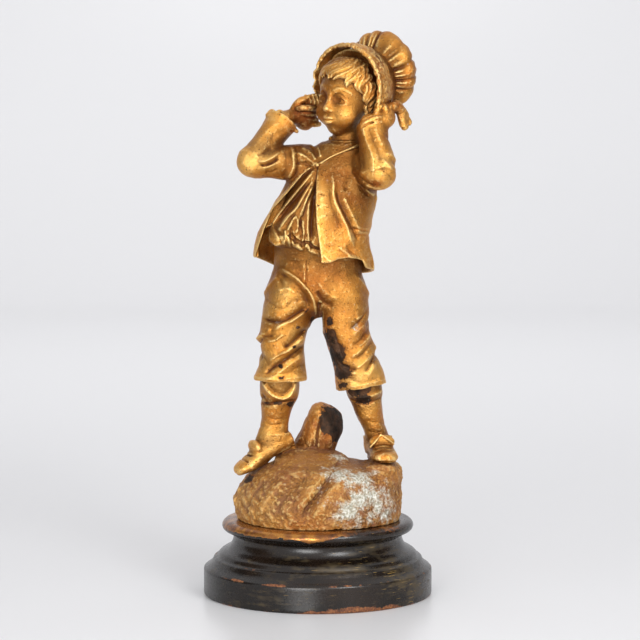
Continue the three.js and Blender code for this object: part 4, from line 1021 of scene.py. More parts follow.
def skull_radius(x, y, z):
    """How far the skull reaches from the head's centre along a unit direction."""
    total = 0
    for (cx, cy, cz), (a, b, c) in SKULL:
        ux, uy, uz = x / a, y / b, z / c
        along = ux * -cx / a + uy * -cy / b + uz * -cz / c
        square = ux * ux + uy * uy + uz * uz
        inside = along ** 2 - square * ((cx / a) ** 2 + (cy / b) ** 2 + (cz / c) ** 2 - 1)
        reach = np.where(inside > 0, (np.sqrt(np.maximum(inside, 0)) - along) / square, 0)
        total = total + np.exp(reach / SKULL_BLEND)
    return SKULL_BLEND * np.log(total)


def hair_line(turn):
    """The lowest rise of the hair, in degrees, by how far round from the face it is."""
    return FRINGE_RISE + (NAPE_RISE - FRINGE_RISE) * smoothstep(np.abs(turn), 0.5, 2.3)


def bare_head(grid):
    x, y, z = grid.within(HEAD)
    reach = np.sqrt(x * x + y * y + z * z) + 1e-6
    x, y, z = x / reach, y / reach, z / reach
    turn, rise = np.arctan2(x, -y), np.degrees(np.arcsin(np.clip(z, -1, 1)))
    line = hair_line(turn)
    hair = HAIR_THICKNESS * smoothstep(rise, line + 2, line + 10)
    return reach - skull_radius(x, y, z) - hair


def on_scalp(turn, rise, lift):
    """A point over the skull, by its turn from the face and its rise, in degrees."""
    turn, rise = math.radians(turn), math.radians(rise)
    direction = np.array([math.sin(turn) * math.cos(rise), -math.cos(turn) * math.cos(rise), math.sin(rise)])
    return direction * (float(skull_radius(*direction)) + lift)


def on_face(clay, x, z, lift=0.0):
    """A point in front of the face as modelled so far, by its place across and up in the head's frame."""
    depths = np.arange(-34, -4, 0.2)
    line = out_of(HEAD, [(x, y, z) for y in depths])
    inside = at_points(clay.gap, (line - LOW) / GRAIN - clay.first) < 0
    return (x, depths[np.argmax(inside)] - lift, z)


def face(clay):
    """A calm child's face on the usual proportions: eyes at half the height, then nose, mouth and chin."""
    for side in (-1, 1):
        clay.add(ball(on_face(clay, side * 9.2, -12.5, -6.3), (7.6, 7.2, 7.2), HEAD), 4)
        clay.cut(ball(on_face(clay, side * 8.0, -1.6, 2.6), (6.2, 4.4, 4.6), HEAD), 3)
    clay.add(ball(on_face(clay, 0, -15.6, -4.6), (7.2, 5.6, 5.2), HEAD), 3)
    clay.add(ball(on_face(clay, 0, -23.4, -4.4), (5.6, 5.2, 4.4), HEAD), 3)
    bridge = [on_face(clay, 0, z, lift) for z, lift in ((2.6, -1.8), (-1.5, -1.3), (-5.2, 0), (-8.6, 1.8))]
    clay.add(strand(bridge, [1.6, 1.6, 1.9, 2.3], HEAD), 2.2)
    clay.add(ball(bridge[-1], (2.7, 2.4, 2.2), HEAD), 1)
    for side in (-1, 1):
        wing = on_face(clay, side * 2.9, -9.6, -0.7)
        clay.add(ball(wing, (1.6, 2.4, 1.5), HEAD), 0.9)
        clay.cut(ball((side * 1.5, bridge[-1][1] - 0.2, -11.3), (0.8, 1.1, 0.7), HEAD), 0.3)
        eye = on_face(clay, side * 7.8, -2.6, -4.6)
        lids = Clay(out_of(HEAD, eye) - 9, out_of(HEAD, eye) + 9)
        lids.add(ball(eye, (6.6, 6.4, 6.0), HEAD))
        opening = [(eye[0] + across, eye[1] - 6.2 + 0.07 * across ** 2, eye[2] + up) for across, up in
                   ((-4.6, -1.0), (-2.4, 0.3), (0, 0.7), (2.4, 0.3), (4.6, -0.8))]
        lids.cut(strand(opening, [0.5, 1.9, 2.4, 1.9, 0.5], HEAD), 0.2)
        clay.join(lids, 1.0)
        clay.add(ball(eye, (5.5, 5.4, 5.0), HEAD), 0.1)
        gaze = (eye[0], eye[1] - 5.4, eye[2] + 0.6)
        ring = [(gaze[0] + 1.9 * math.cos(a), gaze[1] + 0.3, gaze[2] + 1.9 * math.sin(a))
                for a in np.linspace(0, 2 * math.pi, 9)]
        clay.cut(strand(ring, [0.3, 0.3], HEAD, 2), 0.2)
        clay.cut(ball(gaze, (0.8, 0.8, 0.8), HEAD), 0.2)
        fold = [on_face(clay, side * x, z, 0.2) for x, z in ((3.6, 0.8), (7.8, 3.2), (12.2, 0.6))]
        clay.cut(strand(fold, [0.3, 0.7, 0.3], HEAD), 0.9)
        brow = [on_face(clay, side * x, z, -0.7) for x, z in ((3.4, 5.6), (7.4, 7.0), (11.4, 6.4), (14.6, 3.8))]
        clay.add(strand(brow, [0.7, 1.1, 1.0, 0.5], HEAD), 1.6)
        # The ear's bowl, rim and lobe.
        clay.add(ball((side * 19.0, 2.2, -5), (2.6, 3.9, 5.4), HEAD), 0.8)
        clay.cut(ball((side * 21.4, 1.2, -5), (1.7, 2.1, 3.4), HEAD), 0.7)
        rim = [(side * 19.6, -1.2, -2), (side * 20.8, 0.4, 0.6), (side * 21.6, 3.6, 0), (side * 21.4, 5, -4),
               (side * 20.2, 3, -9)]
        clay.add(strand(rim, [0.6, 0.9, 1.0, 0.9, 0.9], HEAD), 0.5)
        clay.add(ball((side * 19.6, 0.6, -10), (1.6, 2.0, 1.9), HEAD), 0.6)

    def line(*points):
        return [on_face(clay, *point) for point in points]

    clay.cut(strand(line((0, -12.9, 0.5), (0, -14.6, 0.4)), [0.5, 0.7], HEAD), 1.0)
    upper_lip = line((-5.0, -16.2, -0.4), (-2.3, -15.0, 0.1), (0, -15.5, 0.2), (2.3, -15.0, 0.1),
                     (5.0, -16.2, -0.4))
    lower_lip = line((-4.2, -17.3, -0.4), (-1.6, -18.2, 0.1), (1.6, -18.2, 0.1), (4.2, -17.3, -0.4))
    parting = line((-5.4, -16.2, 0.3), (-2.4, -16.5, 1.3), (0, -16.8, 1.5), (2.4, -16.5, 1.3),
                   (5.4, -16.2, 0.3))
    clay.add(strand(upper_lip, [0.5, 1.2, 1.1, 1.2, 0.5], HEAD), 0.5)
    clay.add(strand(lower_lip, [0.5, 1.5, 1.5, 0.5], HEAD), 0.5)
    clay.cut(strand(parting, [0.4, 0.6, 0.6, 0.6, 0.4], HEAD), 0.3)
    clay.cut(strand(line((-3.4, -20.4, 0.4), (0, -20.9, 0.6), (3.4, -20.4, 0.4)), [0.4, 0.8, 0.4], HEAD), 1.8)


def lock(clay, root, tip, sway, draw, thick=1.0):
    """A wavy lock of hair: strands side by side that run together at its tip."""
    (turn_a, rise_a), (turn_b, rise_b) = root, tip
    phase = draw.uniform(-0.4, 0.9)
    for offset in (-1, 0, 1):
        points = []
        for share in np.linspace(0, 1, 8):
            spread = offset * 5.6 * thick * math.sin(math.pi * min(share + 0.12, 1)) ** 0.7
            wave = sway * math.sin(phase + 5.6 * share) * (0.3 + 0.7 * share)
            narrowed = max(math.cos(math.radians(rise_a)), 0.4)
            turn = turn_a + (turn_b - turn_a) * share + (wave + spread) / narrowed
            rise = rise_a + (rise_b - rise_a) * share ** 1.1
            lift = HAIR_THICKNESS * 0.45 + 1.5 * math.sin(math.pi * min(share + 0.15, 1))
            lift += 0.7 if offset == 0 else 0
            points.append(on_scalp(turn, rise, lift))
        clay.add(strand(points, [0.6 * thick, 1.35 * thick, 1.3 * thick, 0.3], HEAD, 2), 0.2)


def hair(clay):
    draw = np.random.default_rng(21)
    # Side and nape locks first, then the layers that lie over them towards the front.
    for turn in np.arange(-165, 166, 13.0):
        edge = float(hair_line(math.radians(turn)))
        end = edge - draw.uniform(-2, 5)
        lock(clay, (turn + draw.uniform(-4, 4), min(edge + 40, 80)), (turn + draw.uniform(-12, 8), end),
             7.0, draw, 1.05)
    for turn in np.arange(-100, 101, 15.0):
        edge = float(hair_line(math.radians(turn)))
        lock(clay, (turn * 0.9 + 12, min(edge + 46, 84)),
             (turn - draw.uniform(4, 14), edge + draw.uniform(12, 20)), 8.0, draw, 1.15)
    # The fringe falls in short curved locks, brushed to the boy's right.
    for turn in np.arange(-54, 55, 12.0):
        edge = float(hair_line(math.radians(turn)))
        lock(clay, (turn + 26, edge + 30), (turn - 8 + draw.uniform(-4, 4), edge + draw.uniform(-5, 4)),
             6.0, draw, 1.1)
    for turn in np.arange(-44, 60, 17.0):
        edge = float(hair_line(math.radians(turn)))
        lock(clay, (turn + 30, edge + 44), (turn - 4, edge + draw.uniform(14, 22)), 8.0, draw, 1.15)


def head():
    clay = Clay((-12, -34, 330), (56, 40, 408))
    clay.add(Form((-27, -30, -31), (27, 29, 31), bare_head, HEAD), 0.5)
    clay.add(limb((20, 4, 326), out_of(HEAD, (0, 5, -12)), [[0, 13], [0.5, 10.8], [1, 11.4]], cap=2), 3)
    face(clay)
    clay.roughen((0.1, 4, 22))
    hair(clay)
    return clay


# Bonnet

def brim_form():
    """A short band, open in front, with its gathers drawn in on the boy's right."""
    s, (outer,) = dense([[0, BRIM_RADIUS], [BRIM_DEPTH / 2, BRIM_RADIUS + 0.4], [BRIM_DEPTH, BRIM_RADIUS - 2]])

    def gap(grid):
        x, y, z = grid.within(BONNET)
        ring = np.hypot(x, z)
        around = np.arctan2(x, z)
        ruffle = smoothstep(-around, 0.75, 1.15) * smoothstep(around, -2.5, -2.2)
        waves = 0.9 * ruffle * np.sin(19 * around + 0.5 * np.sin(0.4 * y)) * smoothstep(-y, -14, -3)
        middle = np.interp(y, s, outer) - BRIM_THICKNESS / 2 + waves
        wall = np.abs(ring - middle) - BRIM_THICKNESS / 2
        ends = np.maximum(-y - 0.8 * ruffle, y - BRIM_DEPTH)
        return -smooth_min(-wall, -ends, 1.2)

    reach = BRIM_RADIUS + 2
    return Form((-reach, -1, -reach), (reach, BRIM_DEPTH, reach), gap, BONNET)


def crown_form():
    """A soft round puff with rounded pleats that part at sharp valleys."""
    middle = (0.6, 42, 7.2)

    def gap(grid):
        x, y, z = (axis - p for axis, p in zip(grid.within(BONNET), middle))
        ring = np.hypot(x, z)
        around = np.arctan2(x, z)
        wander = around + 0.13 * np.sin(3 * around + 1) + 0.06 * np.sin(7 * around) + 0.01 * y
        swell = np.abs(np.cos(CROWN_PLEATS * wander / 2)) ** 0.8
        fullness = 0.7 + 0.3 * np.sin(2 * around + 0.6) * np.sin(5 * around)
        pleat = 3.5 * fullness * (swell - 0.66) * smoothstep(ring, 7, 17)
        pleat = pleat * (1 - 0.4 * smoothstep(ring, 24, 31))
        soft = 0.5 * np.sin(2.6 * CROWN_PLEATS * wander + 2)
        soft = soft * smoothstep(ring, 10, 24) * smoothstep(-ring, -31, -24)
        depth = CROWN_HALF_DEPTH * (1.5 - 0.5 * np.minimum(ring / CROWN_RADIUS, 1))
        share = np.sqrt((ring / CROWN_RADIUS) ** 2 + (y / depth) ** 2)
        steep = np.sqrt((ring / CROWN_RADIUS ** 2) ** 2 + (y / depth ** 2) ** 2)
        puff = (share - 1) * (share + 0.05) / (steep + 0.05 / CROWN_HALF_DEPTH)
        return puff - pleat - soft

    reach = CROWN_RADIUS + 3
    low = (middle[0] - reach, middle[1] - 25, middle[2] - reach)
    high = (middle[0] + reach, middle[1] + 25, middle[2] + reach)
    return Form(low, high, gap, BONNET)


RIBBON_TAIL = frame_at((62.6, 3, 357), (0.47, 0.1, -0.85), (0.5, 0.8, 0.3))


def bonnet():
    clay = Clay((-18, -40, 330), (77, 72, 424))
    neck_end = out_of(BONNET, (0, 34, 6))
    neck_start = out_of(BONNET, (0, BRIM_DEPTH - 2, 0))
    across = turn_about(2, HEAD_TURN)[:, 0]
    clay.add(limb(neck_start, neck_end, [[0, BRIM_RADIUS - 2.5], [1, 21]], across, 0.6), 0.4)
    clay.add(crown_form(), 1.0)
    for side in (-1, 1):
        clay.add(ball((side * 7, 58, 8), (7, 3.4, 4.4), BONNET), 0.8)
        clay.cut(strand([(side * 3, 61, 8), (side * 8, 62, 8.6), (side * 12, 60, 8)], [0.5, 0.9, 0.5], BONNET),
                 0.6)
    clay.add(ball((0, 60, 8), (3, 2.6, 3.4), BONNET), 0.5)
    clay.roughen((0.3, 5, 23), (0.14, 2, 24))

    brim = Clay((-18, -40, 340), (66, 60, 416))
    brim.add(brim_form(), 0.4)
    brim.add(strand([(-29, 1, -14), (-24, 6, -20), (-18, 12, -23)], [3.0, 3.4, 2.6], BONNET), 1.2)
    turn = BONNET[0]
    brim.keep_above(out_of(BONNET, (0, 0, -17)), turn[:, 2], 1.2)
    lip = [(31.4 * math.sin(a), 1.2, 31.4 * math.cos(a)) for a in np.linspace(-1.0, 2.1, 17)]
    brim.add(strand(lip, [0.9, 1.5, 1.7, 1.3], BONNET, 3), 1.2)
    brim.roughen((0.4, 3.2, 25), (0.4, 1.6, 26))

    trim = Clay((40, -24, 336), (77, 24, 384))
    trim.add(ball((0, 0, -3), (5, 3.4, 9), RIBBON_TAIL), 0.4)
    trim.add(strand([(52, -7, 361), (58, -2, 363), (63, 3, 358)], [4, 3.8, 3.4]), 1.2)
    ends = [([(-1.6, 0, 0), (-2.6, -1, 4), (-2.4, -1.6, 8.6)], [3.2, 3.3, 3.0]),
            ([(1.6, 0, 0), (2.4, -1, 4), (3.0, -1, 7.4)], [3.2, 3.2, 2.8])]
    for points, radii in ends:
        trim.add(strand(points, radii, RIBBON_TAIL), 1.6)
    trim.cut(strand([(0.2, -3, -9), (0.6, -3.8, 0), (-0.4, -3.4, 8)], [0.6, 1.0, 0.6], RIBBON_TAIL), 0.8)
    trim.roughen((0.4, 3, 27), (0.3, 1.5, 28))
    return clay.join(brim, 0.5).join(trim, 0.6)


# The whole casting

def sculpt():
    figure = Clay(LOW, HIGH)
    ground = mound()
    for clay in (ground, stump(), *stockings(), shoe(RIGHT_SHOE, False), shoe(LEFT_SHOE, True)):
        figure.join(clay, 0.5)
    for clay in breeches():
        figure.join(clay, 0.4)
    figure.join(shirt(), 0.5)
    coat = Clay((-70, -46, 226), (68, 40, 372))
    coat.join(jacket(), 0.4)
    for clay in sleeves():
        coat.join(clay, 2.2)
    jacket_trim(coat)
    figure.join(coat, 0.4)
    for clay in (right_hand(), left_hand(), head(), bonnet()):
        figure.join(clay, 0.4)
    cuffs(figure)
    return figure, ground


def skin(clay):
    """A quad mesh over the surface of the clay: one point in each cell that the surface crosses."""
    gap = clay.gap
    solid = gap < 0
    cells = tuple(n - 1 for n in gap.shape)
    corners = [(i, j, k) for i in (0, 1) for j in (0, 1) for k in (0, 1)]
    some, every = np.zeros(cells, bool), np.ones(cells, bool)
    for i, j, k in corners:
        part = solid[i:i + cells[0], j:j + cells[1], k:k + cells[2]]
        some |= part
        every &= part
    crossed = np.argwhere(some & ~every)
    number = np.full(cells, -1, np.int32)
    number[tuple(crossed.T)] = np.arange(len(crossed))
    total, count = np.zeros((len(crossed), 3)), np.zeros((len(crossed), 1))
    for axis in range(3):
        for corner in corners:
            if corner[axis]:
                continue
            a = crossed + corner
            b = a.copy()
            b[:, axis] += 1
            from_gap, to_gap = gap[tuple(a.T)].astype(float), gap[tuple(b.T)].astype(float)
            crosses = (from_gap < 0) != (to_gap < 0)
            share = np.where(crosses, from_gap / np.where(crosses, from_gap - to_gap, 1), 0)
            point = a + 0.0
            point[:, axis] += share
            total[crosses] += point[crosses]
            count[crosses] += 1
    points = total / count
    quads = []
    for axis in range(3):
        b, c = (axis + 1) % 3, (axis + 2) % 3
        low = [slice(None)] * 3
        high = [slice(None)] * 3
        low[axis], high[axis] = slice(0, -1), slice(1, None)
        near, far = solid[tuple(low)], solid[tuple(high)]
        edges = np.argwhere(near != far)
        edges = edges[(edges[:, b] > 0) & (edges[:, b] < cells[b])]
        edges = edges[(edges[:, c] > 0) & (edges[:, c] < cells[c])]
        outward = near[tuple(edges.T)]
        ring = []
        for step_b, step_c in ((-1, -1), (0, -1), (0, 0), (-1, 0)):
            cell = edges.copy()
            cell[:, b] += step_b
            cell[:, c] += step_c
            ring.append(number[tuple(cell.T)])
        ring = np.stack(ring, 1)
        quads.append(np.where(outward[:, None], ring, ring[:, ::-1]))
    return settle(clay, points), np.vstack(quads)


def at_points(field, points):
    """A grid's values between its points, given in grid steps."""
    first = np.clip(np.floor(points).astype(int), 0, np.array(field.shape) - 2)
    share = np.clip(points - first, 0, 1)
    value = 0
    for i in (0, 1):
        for j in (0, 1):
            for k in (0, 1):
                weight = (share[:, 0] if i else 1 - share[:, 0]) * (share[:, 1] if j else 1 - share[:, 1]) \
                    * (share[:, 2] if k else 1 - share[:, 2])
                value = value + weight * field[first[:, 0] + i, first[:, 1] + j, first[:, 2] + k]
    return value


def slope_at(clay, points):
    steps = 0.5 * np.eye(3)
    slopes = [at_points(clay.gap, points + step) - at_points(clay.gap, points - step) for step in steps]
    return np.stack(slopes, 1)


def settle(clay, points):
    """Moves the points on to the surface itself."""
    for _ in range(2):
        value = at_points(clay.gap, points)
        slope = slope_at(clay, points)
        step = slope * (value / np.maximum((slope ** 2).sum(1), 0.05))[:, None]
        points = points - np.clip(step, -0.4, 0.4)
    return points


def largest_shell(points, quads):
    """Leaves out pockets and crumbs that aren't joined to the casting's outer surface."""
    shell = np.arange(len(points))
    a, b = quads[:, [0, 1, 2, 3]].ravel(), quads[:, [1, 2, 3, 0]].ravel()
    while True:
        lower = shell.copy()
        np.minimum.at(lower, a, shell[b])
        np.minimum.at(lower, b, shell[a])
        lower = lower[lower]
        if (lower == shell).all():
            break
        shell = lower
    names, sizes = np.unique(shell[quads[:, 0]], return_counts=True)
    kept = quads[shell[quads[:, 0]] == names[sizes.argmax()]]
    used, quads = np.unique(kept, return_inverse=True)
    return points[used], quads.reshape(-1, 4)


def mesh_of(name, points, faces):
    """A mesh with faces that all have the same number of corners, from points in millimetres."""
    mesh = bpy.data.meshes.new(name)
    corners = faces.shape[1]
    mesh.vertices.add(len(points))
    mesh.vertices.foreach_set("co", (np.asarray(points) * MM).astype(np.float32).ravel())
    mesh.loops.add(faces.size)
    mesh.loops.foreach_set("vertex_index", faces.astype(np.int32).ravel())
    mesh.polygons.add(len(faces))
    mesh.polygons.foreach_set("loop_start", np.arange(0, faces.size, corners, dtype=np.int32))
    mesh.update(calc_edges=True)
    return mesh


def piece_of(name, mesh, material):
    piece = bpy.data.objects.new(name, mesh)
    bpy.context.scene.collection.objects.link(piece)
    mesh.materials.append(material)
    mesh.polygons.foreach_set("use_smooth", np.ones(len(mesh.polygons), bool))
    return piece


def places(mesh):
    points = np.empty(len(mesh.vertices) * 3, np.float32)
    mesh.vertices.foreach_get("co", points)
    return points.reshape(-1, 3) / MM


def mark(mesh, name, values):
    field = mesh.attributes.new(name, "FLOAT", "POINT")
    field.data.foreach_set("value", np.clip(values, -1, 1).astype(np.float32))


def box_blur(field, radius):
    """The mean over a cube of the given half width, in grid steps."""
    for axis in range(3):
        padding = [(0, 0)] * 3
        padding[axis] = (radius + 1, radius)
        run = np.cumsum(np.pad(field, padding, mode="edge"), axis=axis, dtype=np.float64)
        high = np.take(run, range(2 * radius + 1, run.shape[axis]), axis=axis)
        low = np.take(run, range(0, run.shape[axis] - 2 * radius - 1), axis=axis)
        field = ((high - low) / (2 * radius + 1)).astype(np.float32)
    return field


# Wear, dirt and painted shade

# Where paint is lost and bare metal shows. Each patch here and below is (x, y, z, radius across,
# radius in depth, radius up, strength).
BARE_PATCHES = [
    (9, -14, 205, 3.5, 9, 4, 1.0), (10, -10, 193, 6.5, 13, 8, 1.0), (14, -11, 180, 8, 14, 11, 1.15),
    (19, -12, 168, 7, 14, 8, 1.0), (20, -6, 158, 7, 14, 5, 0.9), (29, -8, 153, 11, 12, 6, 0.95),
    (34, -8, 146, 7, 12, 6, 0.9), (28, -8, 142, 4, 12, 8, 0.7), (-4, -12, 205, 3, 8, 5, 0.8),
    (-8, -20, 213, 2.4, 5, 3, 0.6), (3.5, -16, 200, 2.2, 6, 4.0, 1.0), (-27.5, -24, 173, 2.6, 5, 2.6, 0.8),
    (-27, -25, 164, 4, 5, 2.2, 0.7), (-20, -12, 143, 6, 8, 3.4, 0.9), (-38, -10, 144, 4, 8, 2.4, 0.6),
    (-30, -16, 144.5, 5, 6, 2, 0.7), (-33, -12, 284, 3.2, 10, 4, 0.7), (-36, -10, 272, 3.6, 10, 6, 0.6),
    (-17, -22, 186.5, 2, 4, 1.6, 0.8), (-14, -22, 201, 2.4, 5, 1.8, 0.6), (-9, 10, 363, 5, 10, 5, 0.5),
    (-54, -14, 88, 7, 12, 3.2, 1.3),
]
# How the shape itself darkens the paint, with dirt and painted shade in hollows and with painted shade under
# cover: a hollow's span and depth, and under cover the step in which the grid is read, the span in such steps,
# and the depth. All but the span in steps are in millimetres.
HOLLOW_SPAN, HOLLOW_DEPTH = 1.5, 0.8
COVER_STEP, COVER_SPAN, COVER_DEPTH = 2, 4, 3.2

# The stump's sawn face between two heights, all but a scrap of gold, and its bark, dull like the turf.
STUMP_LEVELS = (104, 146)
STUMP_BARE = (15, 0, 125, 12, 16, 17, 1.9)
STUMP_GOLD = (8.5, -4, 114.5, 4.2, 9, 8, 1.2)
STUMP_BARK = (3, 10, 117, 16, 18, 22, 0.45)

# Where zinc has bloomed white through the paint.
BLOOM_PATCHES = [
    (35, -50, 79, 14, 20, 13, 1.05), (22, -54, 70, 13, 18, 11, 1.0), (46, -44, 72, 15, 20, 18, 0.85),
    (16, -46, 96, 13, 20, 8, 0.95), (30, -44, 92, 16, 20, 11, 0.95), (52, -34, 64, 12, 22, 12, 0.7),
    (3, -52, 78, 6, 12, 10, 0.55), (-39, -34, 99, 5, 10, 3, 0.8), (28, -56, 60, 14, 14, 6, 0.65),
    (26.7, -20, 200, 5, 10, 4.5, 0.5), (-26, -20, 204, 6, 10, 3, 0.4), (22, -12, 103.5, 13, 12, 4, 1.1),
]
# Dull orange and brown zones: thin, dirty paint on the turf and stump, and elsewhere painted shade on parts
# that lie in shadow.
DULL_AND_SHADED_PATCHES = [
    (40, -46, 66, 22, 26, 20, 0.9), (44, -40, 88, 22, 26, 10, 0.7), (-36, -20, 172, 10, 10, 10, 0.4),
    (40, -34, 306, 8, 8, 6, 0.9), (-36, 0, 324, 22, 22, 16, 0.65), (0, -20, 226, 12, 8, 14, 0.6),
    (-46, -10, 180, 6, 14, 20, 0.5), (-10, -22, 268, 8, 6, 6, 0.5), (4, 0, 118, 18, 16, 24, 0.7),
    (0, -20, 96, 40, 40, 6, 0.5), (16, 0, 350, 10, 20, 16, 0.5), (-10, 8, 358, 12, 12, 14, 1.0),
    (-34, 0, 222, 6, 20, 14, 0.4), (8, -10, 170, 6, 12, 14, 0.4), (56, 0, 366, 14, 24, 20, 0.6),
    (44, -10, 386, 10, 14, 22, 0.8), (12, -10, 405, 26, 14, 9, 0.8),
]

# Painted shade over whole forms that lie in shadow, such as under the arms and hands, in the shirt and inside
# the bonnet's brim.
PAINTED_SHADE_PATCHES = [
    (-9, 12, 358, 12, 14, 13, 0.55), (-8, -12, 326, 14, 14, 10, 0.75), (23, -16, 313, 12, 14, 16, 0.65),
    (-20, -22, 284, 16, 12, 22, 0.6), (-40, -22, 258, 8, 16, 14, 0.35), (20, 0, 338, 14, 18, 8, 0.6),
    (38, -30, 303, 9, 9, 6, 0.35), (-22, -46, 84, 26, 20, 18, 0.2), (2, -8, 208, 6, 14, 10, 0.3),
    (-30, -8, 146, 16, 16, 5, 0.25), (36, -4, 149, 16, 16, 6, 0.3), (52, 14, 366, 12, 12, 14, 0.25),
    (-18, -24, 261, 18, 8, 6, 0.6), (43, 0, 397, 8, 12, 11, 0.8), (8, -2, 401, 20, 14, 8, 0.8),
    (-4, -10, 384, 8, 12, 14, 0.35), (47, -15, 110, 13, 10, 4, 0.8), (-40, 0, 332, 24, 24, 18, 0.2),
    (52, 24, 392, 26, 26, 28, 0.18), (20, -8, 390, 16, 16, 12, 0.22), (10, -14, 406, 24, 12, 7, 0.4),
]


def patches(points, spots):
    """The strongest of some soft-edged spots at each point."""
    value = np.zeros(len(points))
    for x, y, z, rx, ry, rz, strength in spots:
        away = ((points - (x, y, z)) / (rx, ry, rz)) ** 2
        value = np.maximum(value, strength * np.exp(-away.sum(1)))
    return value


def gilt_figure(material):
    """The casting as a few pieces one above the other, so that no mesh gets too heavy."""
    clay, ground = sculpt()
    points, quads = largest_shell(*skin(clay))
    whole = piece_of("gilt_figure", mesh_of("gilt_figure", LOW + GRAIN * points, quads), material)
    whole.modifiers.new("thinning", "DECIMATE").ratio = min(1, FIGURE_TRIANGLES / (2 * len(quads)))
    thin = bpy.data.meshes.new_from_object(whole.evaluated_get(bpy.context.evaluated_depsgraph_get()))
    fine = whole.data
    bpy.data.objects.remove(whole)
    bpy.data.meshes.remove(fine)
    thin.calc_loop_triangles()
    corners = np.empty(3 * len(thin.loop_triangles), np.int32)
    thin.loop_triangles.foreach_get("vertices", corners)
    corners = corners.reshape(-1, 3)
    in_grid = settle(clay, (places(thin) - LOW) / GRAIN)
    bpy.data.meshes.remove(thin)
    at = LOW + GRAIN * in_grid
    normals = slope_at(clay, in_grid)
    normals /= np.maximum(np.linalg.norm(normals, axis=1), 1e-6)[:, None]

    # The dull mark is partly thin, dirty paint and partly painted shade.
    marks = {"bloom": patches(at, BLOOM_PATCHES), "dull": patches(at, DULL_AND_SHADED_PATCHES)}
    # The distance blurred over a small span tells hollows from crests, and over a wide one what is covered:
    # hollows take dirt and painted shade, crests a painted highlight, and what is covered painted shade.
    near = box_blur(np.clip(clay.gap, -2.4, 2.4), max(1, round(HOLLOW_SPAN / GRAIN)))
    marks["hollow"] = -at_points(near, in_grid) / HOLLOW_DEPTH
    stride = max(1, round(COVER_STEP / GRAIN))
    coarse = np.clip(clay.gap[::stride, ::stride, ::stride], -2 * stride * GRAIN, 3 * stride * GRAIN)
    covered = 1 - at_points(box_blur(coarse, COVER_SPAN), in_grid / stride) / COVER_DEPTH
    # The sheltered mark is painted shade: a wide darkening under cover, with the painted shade patches added.
    marks["sheltered"] = covered + patches(at, PAINTED_SHADE_PATCHES)
    sawn = (at - STUMP_CUT_POINT) @ unit(STUMP_CUT_NORMAL) < 7
    sawn &= (at[:, 2] > STUMP_LEVELS[0]) & (at[:, 2] < STUMP_LEVELS[1])
    on_cut = np.where(sawn, patches(at, [STUMP_BARE]), 0) - patches(at, [STUMP_GOLD])
    marks["bare"] = np.maximum(patches(at, BARE_PATCHES), on_cut)
    on_ground = smoothstep(-at_points(ground.gap, in_grid - ground.first), -1.6, -0.4)
    marks["earth"] = np.maximum(on_ground, patches(at, [STUMP_BARK]))

    height = at[corners].mean(1)[:, 2]
    cuts = np.quantile(height, np.linspace(0, 1, len(FIGURE_PIECES) + 1))
    pieces = []
    for name, low, high in zip(FIGURE_PIECES, cuts, cuts[1:]):
        used, own = np.unique(corners[(height >= low) & (height < high + (high == cuts[-1]))],
                              return_inverse=True)
        mesh = mesh_of(name, at[used], own.reshape(-1, 3))
        pieces.append(piece_of(name, mesh, material))
        mesh.normals_split_custom_set_from_vertices(normals[used])
        for mark_name, values in marks.items():
            mark(mesh, mark_name, values[used])
    return pieces


# Socle

# The turned profile as [radius, height]: drum, stepped shoulder, waist and rounded top rim.
SOCLE_PROFILE = [
    (0, 0), (84.0, 0), (85.1, 0.5), (85.3, 1.4), (85.3, 18.4), (85.0, 19.6), (84, 20.4), (81, 22.4), (78.6, 25),
    (77.9, 27), (76.8, 27.9), (75.0, 28.3), (74.3, 29.4), (73.8, 30.8), (72.6, 32.0), (70.4, 33.4),
    (67.6, 34.7), (65.6, 36.4), (64.2, 38.4), (63.3, 40.8), (62.9, 43.2), (63.2, 44.8), (64.4, 45.8),
    (66.2, 46.5), (67.9, 47.4), (69.6, 48.2), (70.9, 49.4), (71.5, 51.0), (71.4, 52.4), (70.6, 53.9),
    (69.2, 55.1), (67.0, 55.8), (64, 56), (0, 56),
]
SOCLE_SIDES = 288
KNOCKS = 34
KNOCK_LEVELS = (1.0, 19.6, 27.6, 51.5)
# Edges that wear down to the wood, as [height, width of the wear, how much].
WORN_EDGES = [(0.5, 1.0, 1.0), (20.0, 0.9, 0.85), (27.9, 0.7, 0.7), (33.0, 0.7, 0.7)]
# Chips down to the wood, bands of greenish-brown grime, and where the rim's paint is rubbed.
SOCLE_CHIPS = [
    (24, -81, 3, 26, 14, 3.4, 1.0), (2, -85, 1.5, 14, 14, 2, 0.8), (52, -68, 2, 12, 14, 3, 0.8),
    (-34, -78, 19.6, 10, 10, 1.0, 0.7), (-14, -84, 7, 5, 6, 2, 0.6), (-60, -60, 20, 10, 12, 1.0, 0.55),
    (-50, 68, 2, 24, 20, 3, 0.9), (40, 74, 20, 20, 20, 1.6, 0.8),
]
SOCLE_GRIME = [
    (20, -70, 30, 34, 20, 4, 1.0), (60, -56, 24, 18, 30, 16, 0.9), (-20, -72, 37, 14, 20, 3, 0.8),
    (70, -46, 10, 16, 30, 12, 0.7), (-30, -76, 12, 20, 20, 8, 0.4), (40, -50, 42, 16, 20, 8, 0.7),
    (0, 74, 30, 60, 20, 12, 0.7),
]
SOCLE_RUBS = [(-66, -20, 55, 16, 40, 8, 0.1), (70, -10, 55, 18, 60, 8, 0.6), (38, -60, 54, 16, 16, 6, 0.7)]


def socle_profile():
    """The profile in short steps, so that wear can be laid on between its edges."""
    points = [SOCLE_PROFILE[0]]
    for a, b in zip(SOCLE_PROFILE, SOCLE_PROFILE[1:]):
        steps = max(1, int(math.dist(a, b) / 1.6))
        points += [tuple(np.add(a, np.multiply(np.subtract(b, a), i / steps))) for i in range(1, steps + 1)]
    return np.array(points)


